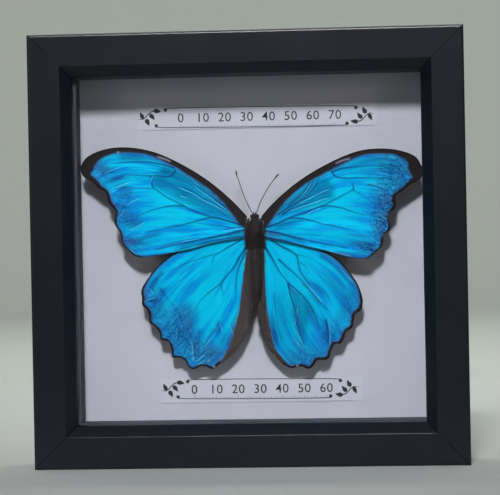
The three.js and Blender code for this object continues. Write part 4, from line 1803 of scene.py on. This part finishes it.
RIGHT_HIND_MARKS = WingMarks(
    strong_veins=(
        ((4.2, -8.4), (7.3, -13.6), (10.4, -19.4), (14.4, -25.2)),
        (
            (7.8, -6), (11.8, -8.5), (16.4, -11), (18.5, -12.6), (19.3, -14.8), (19.6, -17.3),
            (20.4, -20.2), (24.5, -26.3),
        ),
    ),
    veins=(
        (
            (10.5, -14.5), (13, -16.9), (16.6, -20.2), (20.1, -23.5), (22.9, -26.6), (25.7, -29.9),
            (29.2, -34.4), (32.3, -38),
        ),
        ((14.5, -25.4), (15.5, -30.5), (17.4, -37.5), (19.2, -46.5), (21, -53.7)),
        ((14.5, -25.3), (18.7, -29), (21.5, -31.6), (24.3, -35.6), (27, -41.2), (28.6, -46.5)),
        ((31.4, -42.6), (32.2, -48), (32.3, -53)),
    ),
    faint_veins=(
        ((18.7, -12.4), (22, -13.2), (25.6, -14.6)), ((20.4, -16), (23.6, -18.6)),
        ((36.5, -31.5), (41.5, -38), (44.2, -42)), ((8, -30), (9, -40), (11, -52)),
    ),
    folds=(
        ((30.2, -13.4), (34.4, -16.6), (37.9, -19.8), (41.4, -23.5), (44.8, -27.7), (47.2, -31.3)),
        ((37.9, -19.8), (41.4, -23.5), (44.8, -27.7), (47.2, -31.3)),
    ),
    pleats=(
        ((21.5, -55), (19.4, -50.2), (17.2, -46.6)), ((20.6, -55.8), (18.5, -53), (15.7, -49.8)),
        ((15.2, -26.8), (19, -30.2)), ((17, -45.5), (18, -42), (19, -36.5)),
        ((3, -9), (4, -13), (5.5, -15.5)), ((32.6, -43), (33.2, -48), (33, -54)),
        ((44, -25.4), (41, -21.8), (38, -18.8)),
    ),
    strong_highlight_pleats=(((20.8, -24.4), (23.6, -27.4), (27.1, -31.2), (30.3, -35.2)),),
    deep=zones(
        (37, -27, 9, 3.4, -42, 0.5), (41.5, -37, 4, 7.5, -24, 0.5), (23, -57.5, 10, 3.6, 8, 0.4),
        (33, -50, 4, 6, -30, 0.35), (28.5, -28.6, 6, 1.7, -38, 0.65), (27, -33.4, 5, 1, -48, 0.6),
        (25.6, -40, 2, 7.5, 22, 0.65), (7.6, -47, 1.4, 8.5, 8, 0.6), (18.6, -44, 1.6, 8.5, 12, 0.6),
        (31, -47.5, 1.5, 6, 6, 0.55), (18, -53.5, 1.6, 3.4, 30, 0.4), (9, -51, 1.6, 6, 18, 0.45),
    ),
    violet=zones((13.5, -62.3, 4, 1.4, -14, 0.6), (6.6, -50, 0.8, 8, 14, 0.6)),
    dull=zones((20.5, -43, 3.5, 12, 10, 0.6), (12, -42, 6, 13, 4, 0.55)),
    dull_areas=(((14.8, -26), (22, -32), (25, -38), (23, -47), (21.5, -54), (18.5, -45), (16.2, -34)),),
    lagoon=zones((17, -16, 16, 13, -30, 1), (8, -30, 5, 16, 5, 0.6)),
    crinkled=zones((20, -60, 12, 4.5, 0, 0.7), (34, -48, 10, 5, 50, 0.4), (44, -36, 4, 6, 0, 0.35)),
    flecks=((45.4, -40.2), (41.2, -48.3), (36, -53.9), (28.6, -61.1), (18, -63.3)),
    blue_edge=(
        (3, -8), (3.2, -14.5), (3.6, -20), (4.2, -30), (4.7, -35.5), (5.2, -40), (6.5, -49.8), (7.9, -54.8),
        (10.6, -58.6), (13, -62),
    ),
    lead_band=((0, 0.5), (0.3, 0.9), (0.6, 0.7), (1, 0.9)),
    outer_band=((0, 1.1), (0.1, 1.4), (0.3, 1.25), (0.7, 1.3), (0.85, 1.1), (1, 0.9)),
)


def wings() -> list[Wing]:
    """The four wings, each with its own edges."""
    return [
        Wing(
            "left_hindwing", "hindwing_left", Side.LEFT,
            lead=(
                (4.3, -2.2), (13, -2), (22, -3.9), (30, -7), (37.9, -11.3), (44.3, -16), (48.9, -21.1),
                (52.2, -25.8),
            ),
            outer=(
                (52.2, -25.8), (53, -28.4), (52.6, -31.2), (52.6, -34.3), (50.3, -36.6), (49.5, -39.5),
                (49.3, -42.5), (46.9, -44.5), (45, -47), (44.3, -50.2), (41.1, -51.3), (39.6, -54.5),
                (39, -58.6), (36.1, -58.7), (33.6, -60), (31.8, -63.2), (29.6, -64.1), (26.2, -62.8),
                (23.9, -62.9), (20.8, -64.2), (17.6, -62.2),
            ),
            inner=(
                (3.4, -8.3), (3.4, -14), (3, -20), (2.5, -26), (1.7, -32), (1.4, -35), (2.4, -40), (4, -45),
                (6.1, -50), (8.4, -53.6), (12.9, -58.6), (17.6, -62.2),
            ),
            root=((4.3, -2.2), (4.2, -5.4), (3.4, -8.3)),
            base=9.9, downward=-0.0435, span=50, marks=LEFT_HIND_MARKS, seed=31, across=240, out=200,
        ),
        Wing(
            "right_hindwing", "hindwing_right", Side.RIGHT,
            lead=(
                (4.3, -2.2), (14, -4.2), (24, -7.5), (31, -10.8), (36.6, -14.4), (42, -19.9), (46, -25.8),
                (48, -31),
            ),
            outer=(
                (48, -31), (48.5, -34.4), (47.6, -38.1), (44.8, -40.4), (44.2, -43.2), (43.5, -46),
                (40.6, -48.2), (39.6, -51), (37.9, -53.4), (35.2, -53.8), (33.6, -56.6), (32.4, -60),
                (30.2, -60.9), (27.2, -60.9), (25.2, -63.6), (23, -64.8), (19.7, -63.5), (15.1, -64.3),
                (11.4, -62.4),
            ),
            inner=(
                (3.4, -8.3), (3.4, -14), (3, -20), (2.5, -26), (1.7, -32), (0.7, -37), (0.4, -41),
                (1.8, -46.9), (3.7, -52.7), (7.5, -57.8), (11.4, -62.4),
            ),
            root=((4.3, -2.2), (4.2, -5.4), (3.4, -8.3)),
            base=9.9, downward=-0.0435, span=48, marks=RIGHT_HIND_MARKS, seed=47, across=240, out=200,
        ),
        Wing(
            "left_forewing", "forewing_left", Side.LEFT,
            lead=(
                (3.4, 5.2), (9.6, 12.1), (20.7, 21.8), (34, 30.3), (47.3, 36.1), (60, 38.1), (70, 36.9),
                (77, 33.6), (79.8, 29.5),
            ),
            outer=(
                (79.8, 29.5), (79.2, 26.2), (77.5, 24.3), (75.4, 23.2), (73.3, 21.7), (71.6, 19.8),
                (68.4, 17.8), (67.5, 15.9), (67.1, 13.2), (65, 10.6), (63.7, 8.9), (64.2, 5.8), (64.4, 3.6),
                (63.6, 1.5), (61.9, -0.8), (61.4, -3), (61.5, -5.2), (60.4, -7), (58.3, -9.2),
                (55.7, -11.5), (52.2, -12.6),
            ),
            inner=((4.3, -4.5), (12.2, -5.4), (21.2, -7), (30.2, -9.3), (40, -11), (52.2, -12.6)),
            root=((3.4, 5.2), (4.2, 2.4), (4.3, -4.5)),
            base=11, outward=-0.008, span=76, marks=LEFT_FORE_MARKS, seed=11,
        ),
        Wing(
            "right_forewing", "forewing_right", Side.RIGHT,
            lead=(
                (3, 5.2), (8.5, 11.1), (20.2, 20.8), (34.1, 28.8), (47.9, 34.1), (57.1, 35), (66.3, 34),
                (73.6, 30.9), (77, 25.6),
            ),
            outer=(
                (77, 25.6), (76.4, 21.9), (75.1, 20.3), (73, 19.3), (70.7, 18.2), (67.5, 15.7), (65, 13.9),
                (64.3, 11.8), (64.4, 9.7), (63.7, 7.6), (61.3, 5.6), (60.6, 3.9), (61.2, 1.8), (61.6, -0.6),
                (60.8, -2.5), (58.8, -3.9), (58.3, -5.9), (58.1, -8), (57, -10), (54, -12.7), (51, -15),
            ),
            inner=((4.3, -4.5), (15.1, -6.9), (24.2, -9.3), (33.3, -11.5), (42.5, -14.2), (51, -15)),
            root=((3, 5.2), (4.2, 2.4), (4.3, -4.5)),
            base=11, outward=-0.008, span=76, marks=RIGHT_FORE_MARKS, seed=23,
        ),
    ]


# ---------------------------------------------------------------- body, hair and antennae


@dataclass
class HairField:
    """Short tapered hairs, each a three-sided blade with a bent tip."""

    seed: int
    radius: float = 0.055
    middle_at: float = 0.55
    middle_taper: float = 0.7
    middle_lean: float = 0.12
    tip_lean: float = 0.38
    hair_run: ClassVar[tuple[float, ...]] = (0, 0, 0, 0.5, 0.5, 0.5, 1)

    def grow(self, roots: Array, ways: Array, lengths: Array, lean: Array) -> Surface:
        """Hairs as meshes.

        A hair has a ring at its root, a thinner ring near its middle and a point at its tip;
        middle and tip are moved by their own shares of the lean.

        Args:
            roots: N by 3 root points.
            ways: N by 3 directions.
            lengths: N lengths.
            lean: N by 3 vectors that the hairs bend along.

        Returns:
            The hairs, with the masks "run" and "shade".
        """
        rng = np.random.default_rng(self.seed)
        count = len(roots)
        ways = ways / np.linalg.norm(ways, axis=1)[:, None]
        helper = np.where(np.abs(ways[:, 2:3]) > 0.8, [[1.0, 0, 0]], [[0, 0, 1.0]])
        across = np.cross(ways, helper)
        across /= np.linalg.norm(across, axis=1)[:, None]
        up = np.cross(ways, across)
        size = lengths[:, None]
        middle = roots + self.middle_at * size * ways + self.middle_lean * size * lean
        tip = roots + size * ways + self.tip_lean * size * lean
        turn = np.array([0, 2, 4]) * math.pi / 3
        ring = np.cos(turn)[None, :, None] * across[:, None] + np.sin(turn)[None, :, None] * up[:, None]
        low = roots[:, None] + ring * self.radius
        high = middle[:, None] + ring * self.radius * self.middle_taper
        points = np.concatenate([low, high, tip[:, None]], 1).reshape(-1, 3)
        each = len(self.hair_run)
        start = np.arange(count)[:, None] * each
        pairs = ((0, 1), (1, 2), (2, 0))
        one_hair = [[a + 3, b + 3, b, a] for a, b in pairs] + [[6, b + 3, a + 3] for a, b in pairs]
        faces = [face for part in (*one_hair, [0, 1, 2]) for face in (start + part).tolist()]
        shade = np.repeat(rng.uniform(0.25, 1.0, count), each)
        return Surface(points, faces, {"run": np.tile(self.hair_run, count), "shade": shade})


@dataclass
class ButterflyBody:
    """Head, thorax and abdomen with their coat, eyes and palps."""

    height: float = 10.6
    flatten: float = 0.94
    skin: float = 0.93
    sides: int = 72
    rings: int = 170
    coat_seed: int = 5
    coat_hairs: int = 10500
    profile: tuple[Point, ...] = (
        (6.6, 0.0), (6.4, 0.9), (5.9, 1.5), (5.2, 1.7), (4.7, 1.5), (4.4, 1.45), (4.0, 1.8), (3.2, 2.2),
        (1.5, 2.9), (-1, 3.3), (-4, 3.3), (-6.5, 3.0), (-7.8, 2.7), (-9, 2.7), (-12, 2.9), (-17, 2.8),
        (-22, 2.6), (-27, 2.1), (-31, 1.5), (-33.4, 0.7), (-34, 0.0),
    )
    eye: tuple[float, float, float] = (1.35, 5.25, 0.25)
    eye_radii: tuple[float, float, float] = (0.8, 1.0, 0.85)
    palp: tuple[tuple[float, float, float], ...] = ((0.45, 5.8, 0.3), (0.55, 6.7, 0.5), (0.42, 7.5, 0.3))
    palp_radii: tuple[float, float, float] = (0.36, 0.34, 0.12)

    def _radius(self, y: Array) -> Array:
        """Radius of the bare skin at y, read off the profile."""
        knots = np.asarray(self.profile)[::-1]
        return np.interp(y, knots[:, 0], knots[:, 1]) * self.skin

    def _trunk(self) -> Surface:
        """Surface of revolution about the long axis.

        The radius follows the profile, dented by even rings along the abdomen and roughened
        by lattice noise; its depth is flattened.

        Returns:
            The trunk, measured from the thorax.
        """
        waist, ring_step, dent = -9, 2.4, 0.6
        y = np.linspace(6.55, -33.9, self.rings)
        rings = 0.10 * np.abs(np.sin((y - waist) * math.pi / ring_step)) * (y < waist)
        radius = np.maximum(self._radius(y) - rings * dent, 0.05)
        turn = np.linspace(0, 2 * math.pi, self.sides, endpoint=False)
        yg, ag = np.meshgrid(y, turn, indexing="ij")
        rough = 1 + 0.035 * lattice_noise(yg * 1.4, ag * 12 / (2 * math.pi), self.coat_seed)
        r = radius[:, None] * rough
        height = self.height + self.flatten * r * np.cos(ag)
        points = np.stack([r * np.sin(ag), yg, height], 2).reshape(-1, 3)
        ends = [[0, self.profile[end][0], self.height] for end in (0, -1)]
        return Surface(np.vstack([points, ends]), ring_faces(self.rings, self.sides, tips=True))

    def _coat(self) -> Surface:
        """Hair over the body: swept forward on the head and back elsewhere, dark on the thorax.

        Lengths follow the long axis, longest behind the thorax. The shade is 0.25 on top of
        the thorax and rises down the abdomen, sooner on the flanks.

        Returns:
            The hairs, measured from the thorax.
        """
        rng, count = np.random.default_rng(self.coat_seed), self.coat_hairs
        front = rng.random(count) < 0.55
        y = np.where(front, rng.uniform(-8.5, 4.4, count), rng.uniform(-33.5, -7, count))
        head = rng.random(count) < 0.07
        y = np.where(head, rng.uniform(4.3, 6.4, count), y)
        turn = rng.uniform(-0.62 * math.pi, 0.62 * math.pi, count)
        r = self._radius(y) * 0.97
        out = np.column_stack([np.sin(turn), np.zeros_like(turn), np.cos(turn)])
        roots = np.column_stack([r * out[:, 0], y, self.height + self.flatten * r * out[:, 2]])
        ways = out + rng.normal(0, 0.28, out.shape) + np.where(y > 4.4, 0.35, -0.55)[:, None] * [0, 1, 0]
        stations = [-34, -30, -9, -7, -3, 2, 4.3, 4.6, 6.4]
        lengths = np.interp(y, stations, [0.4, 0.8, 1.1, 1.1, 0.9, 0.8, 0.7, 0.6, 0.5])
        lengths = lengths * rng.uniform(0.7, 1.15, count)
        lean = np.tile([0.0, -1.0, -0.25], (count, 1))
        coat = HairField(self.coat_seed + 1).grow(roots, ways, lengths, lean)
        pale = 0.25 + 0.75 * smoothstep(0.3, 1.0, (-5 - y) / 9 + np.abs(roots[:, 0]) / 6)
        coat.masks["shade"] = coat.masks["shade"] * np.repeat(pale, len(HairField.hair_run))
        return coat

    def _ball(self, middle: Sequence[float], radii: Sequence[float]) -> Surface:
        """Ellipsoid as a tube along y whose radius follows a circle.

        Args:
            middle: its middle.
            radii: its half sizes.

        Returns:
            The ellipsoid.
        """
        blunt, rings, sides = 0.12, 18, 24
        u = np.linspace(blunt, math.pi - blunt, rings)
        ball = tube(np.column_stack([0 * u, -np.cos(u), 0 * u]), np.sin(u), sides)
        ball.points = ball.points * radii + middle
        return ball

    def build(self, shop: Workshop) -> None:
        """Makes the trunk in place of its CAD node, then its coat, eyes and palps.

        Args:
            shop: the workshop that places the pieces.
        """
        shop.place("body_trunk", self._trunk().mounted(), [CUTICLE], Slot.INSECT, ["butterfly_body"])
        shop.place("body_coat", self._coat().mounted(), [BODY_HAIR], Slot.INSECT)
        sides = [np.array([side.value, 1, 1]) for side in Side]
        raised = np.array([0, 0, self.height])
        eyes = [self._ball((self.eye + raised) * side, self.eye_radii) for side in sides]
        palps = [tube((self.palp + raised) * side, np.array(self.palp_radii), 12) for side in sides]
        for name, parts, finish in (("eyes", eyes, EYE), ("palps", palps, CUTICLE)):
            shop.place(f"head_{name}", join_surfaces(parts).mounted(), [finish], Slot.INSECT)


@dataclass
class WingRootHair:
    """Hair where the wings leave the thorax and along the hindwings' inner folds."""

    hairs_per_root: int = 900
    hairs_per_fold: int = 3400
    seed: int = 77

    def _roots(self, side: Side, rng: np.random.Generator) -> Surface:
        """Fringe that lies out over the wing roots.

        Args:
            side: side of the insect.
            rng: source of the random draws.

        Returns:
            The hairs, measured from the thorax.
        """
        count = self.hairs_per_root
        y = rng.uniform(-8, 4.6, count)
        x = np.interp(y, [-9, 1, 4.6], [2.9, 2.9, 1.9]) + rng.uniform(0, 1.0, count)
        roots = np.column_stack([x * side.value, y, rng.uniform(10.9, 11.7, count)])
        back, up = rng.normal(-0.35, 0.3, count), rng.normal(0.12, 0.12, count)
        ways = np.column_stack([np.full(count, side.value), back, up])
        lengths = 0.5 + 1.8 * rng.random(count) ** 2
        lean = np.tile([0.0, -0.5, -0.2], (count, 1))
        return HairField(int(rng.integers(1000))).grow(roots, ways, lengths, lean)

    def _fold(self, wing: Wing, rng: np.random.Generator) -> Surface:
        """Hair combed along the brown inner fold of a hindwing.

        Args:
            wing: the hindwing.
            rng: source of the random draws.

        Returns:
            The hairs, measured from the thorax.
        """
        count = self.hairs_per_fold
        inner = along(catmull_rom(wing.inner), rng.uniform(0.02, 0.97, count))
        edge = np.asarray(wing.marks.blue_edge)[::-1]
        reach = np.interp(inner[:, 1], edge[:, 1], edge[:, 0])
        mix = rng.uniform(0.02, 0.98, count)
        x = inner[:, 0] * (1 - mix) + np.maximum(reach, inner[:, 0] + 0.4) * mix
        height = wing.lift(x, inner[:, 1]) - 0.02
        roots = np.column_stack([x * wing.side.value, inner[:, 1], height])
        drift = np.interp(inner[:, 1], [-62, -40, -8], [0.35, 0.15, 0.05])
        drift = np.where((mix < 0.3) & (inner[:, 1] > -44), -0.75, drift)
        sideways = wing.side.value * (drift + rng.normal(0, 0.10, count))
        ways = np.column_stack([sideways, np.full(count, -1.0), rng.uniform(0.04, 0.16, count)])
        lengths = rng.uniform(1.2, 2.6, count) * np.interp(inner[:, 1], [-62, -56, -20], [0.35, 0.8, 1.0])
        lean = np.tile([0.0, 0.0, -0.12], (count, 1))
        return HairField(int(rng.integers(1000))).grow(roots, ways, lengths, lean)

    def build(self, shop: Workshop, made: Sequence[Wing]) -> None:
        """Grows the fringes of both sides and the hair of both folds.

        Args:
            shop: the workshop that places the pieces.
            made: the wings.
        """
        rng = np.random.default_rng(self.seed)
        fringe = join_surfaces([self._roots(side, rng) for side in Side])
        shop.place("wing_root_hair", fringe.mounted(), [HAIR], Slot.INSECT)
        for wing in made:
            if len(wing.marks.blue_edge):
                hair = self._fold(wing, rng).mounted()
                shop.place(f"{wing.name}_fold_hair", hair, [MARGIN_HAIR], Slot.INSECT)


@dataclass
class Antenna:
    """A thin ringed antenna that thickens into a club."""

    name: str
    node: str
    path: Path
    height: float = 11.0
    rise: float = 1.6
    shaft: float = 0.21
    club: float = 0.34
    stations: int = 180
    segments: int = 34

    def build(self, shop: Workshop) -> None:
        """A tube along the path: a tapering shaft with fine rings and a long slim club.

        Args:
            shop: the workshop that places the pieces.
        """
        flat = smooth_path(self.path, self.stations)
        u = np.linspace(0, 1, self.stations)
        path = MOUNTING.place(np.column_stack([flat, self.height + self.rise * u]))
        club = self.club * smoothstep(0.80, 0.94, u) * (1 - 0.5 * smoothstep(0.97, 1.0, u))
        shaft = self.shaft * (1 - 0.25 * u)
        radii = np.maximum(shaft, club) * (1 + 0.06 * np.sin(u * 2 * math.pi * self.segments))
        shop.place(self.name, tube(path, radii, 14), [CUTICLE], Slot.INSECT, [self.node])


LEFT_ANTENNA = ((-1.2, 7), (-3.2, 11.1), (-5.3, 16.6), (-6.6, 20.7), (-7.7, 24), (-8.1, 26.3))
RIGHT_ANTENNA = ((1, 7), (2.3, 10.7), (4.6, 15.1), (6.5, 18.2), (8.8, 21.4), (11.4, 24.4))


# ---------------------------------------------------------------- studio


@dataclass(frozen=True)
class SoftBox:
    """A square area light, in metres, aimed at a point."""

    name: str
    place: tuple[float, float, float]
    aim: tuple[float, float, float]
    size: float
    watts: float
    colour: Colour = (1.0, 1.0, 1.0)
    spread: float = 180.0

    def build(self) -> None:
        """Adds the light, hidden from the camera; spread is the width of its cone in degrees."""
        light = bpy.data.lights.new(self.name, "AREA")
        light.shape, light.size = "SQUARE", self.size
        light.spread = math.radians(self.spread)
        light.energy, light.color = self.watts, self.colour
        holder = add_object(self.name, light)
        holder.location = self.place
        way = Vector(self.aim) - Vector(self.place)
        holder.rotation_mode = "QUATERNION"
        holder.rotation_quaternion = way.to_track_quat("-Z", "Y")
        holder.visible_camera = False


@dataclass
class Studio:
    """Pale seamless floor with a low curved wall, soft lights and the camera."""

    radius: float = 2.6
    sweep: float = 0.6
    wall: float = 1.5
    fill: float = 0.15
    camera_at: tuple[float, float, float] = (0.08238, -1.06473, 0.10538)
    aim: tuple[float, float, float] = (0.00125, -0.0179, 0.09805)
    roll: float = -1.09
    lens: float = 170.06
    key: SoftBox = SoftBox(
        "key_light", (-0.05, -2.018, 1.603), (0.0, -0.018, 0.125), 0.34, 0.66, (0.95, 0.965, 1.0), 17.0
    )
    fills: tuple[SoftBox, ...] = tuple(
        SoftBox(name, (x, -1.3, 0.35), (0.0, -0.018, 0.0975), 0.6, 0.24, (1.0, 0.94, 0.98), 60.0)
        for name, x in (("left_fill", -1.3), ("right_fill", 1.3))
    )
    wall_light: SoftBox = SoftBox(
        "wall_light", (0.0, 0.55, 1.5), (0.0, 2.5, 0.25), 1.2, 36.0, (0.93, 1.0, 0.94)
    )

    def _floor(self) -> None:
        """Floor disc that sweeps up into a round wall: a profile turned about the z axis."""
        sides, start = 96, self.radius - self.sweep
        flat = np.linspace(0.02, start, 12)
        turn = np.linspace(0, math.pi / 2, 14)[1:]
        bend = np.column_stack([start + self.sweep * np.sin(turn), self.sweep * (1 - np.cos(turn))])
        profile = np.vstack([np.column_stack([flat, 0 * flat]), bend, [[self.radius, self.wall]]])
        angle = np.linspace(0, 2 * math.pi, sides, endpoint=False)
        ring = np.column_stack([np.cos(angle), np.sin(angle)])
        points = np.concatenate([np.column_stack([ring * r, np.full(sides, z)]) for r, z in profile])
        faces = ring_faces(len(profile), sides) + [list(range(sides))]
        mesh = bpy.data.meshes.new("stage")
        mesh.from_pydata(points.tolist(), [], faces)
        mesh.polygons.foreach_set("use_smooth", np.ones(len(mesh.polygons), bool))
        mesh.materials.append(STAGE_PAPER.material())
        add_object("stage", mesh)

    def _camera(self) -> None:
        """Camera from its place and aim, rolled about its line of sight."""
        back = (Vector(self.camera_at) - Vector(self.aim)).normalized()
        right = Vector((0, 0, 1)).cross(back).normalized()
        up = back.cross(right)
        turn = math.radians(self.roll)
        cos, sin = math.cos(turn), math.sin(turn)
        right, up = right * cos + up * sin, up * cos - right * sin
        data = bpy.data.cameras.new("camera")
        data.lens, data.sensor_width = self.lens, 36.0
        camera = add_object("camera", data)
        pose = Matrix((right, up, back)).transposed().to_4x4()
        pose.translation = self.camera_at
        camera.matrix_world = pose
        bpy.context.scene.camera = camera

    def build(self) -> None:
        """Adds floor, lights, even sky light and camera."""
        self._floor()
        for light in (self.key, *self.fills, self.wall_light):
            light.build()
        world = bpy.data.worlds.new("studio_air")
        world.use_nodes = True
        world.node_tree.nodes["Background"].inputs[0].default_value = (1.0, 0.93, 1.02, 1.0)
        world.node_tree.nodes["Background"].inputs[1].default_value = self.fill
        bpy.context.scene.world = world
        bpy.context.scene.view_settings.view_transform = "Standard"
        self._camera()


def labels() -> list[PrintedLabel]:
    """The two labels on the card."""
    return [
        PrintedLabel(
            "upper_label", "label_upper",
            top_rule=((-37.7, 63.50), (48.8, 62.75)), bottom_rule=((-42.0, 56.50), (44.7, 55.70)),
            left_tip=(-50.3, 59.90), right_tip=(56.9, 59.70),
            scale_from=-30.8, scale_count=8, base_line=57.8,
        ),
        PrintedLabel(
            "lower_label", "label_lower",
            top_rule=((-29.9, -60.00), (39.5, -60.50)), bottom_rule=((-34.4, -66.90), (35.0, -67.40)),
            left_tip=(-42.0, -63.70), right_tip=(47.7, -63.60),
            scale_from=-26.9, scale_count=7, base_line=-65.6,
        ),
    ]


def main() -> None:
    """Builds the object and the studio, and reports each piece."""
    shop = Workshop(frame)
    FrameMoulding().build(shop)
    InnerLayers().build(shop)
    BackFixings().build(shop)
    for label in labels():
        label.build(shop)
    made = wings()
    for wing in made:
        wing.build(shop)
    ButterflyBody().build(shop)
    WingRootHair().build(shop, made)
    Antenna("left_antenna", "antenna_left", LEFT_ANTENNA).build(shop)
    Antenna("right_antenna", "antenna_right", RIGHT_ANTENNA).build(shop)
    Studio().build()


if __name__ == "__main__":
    main()
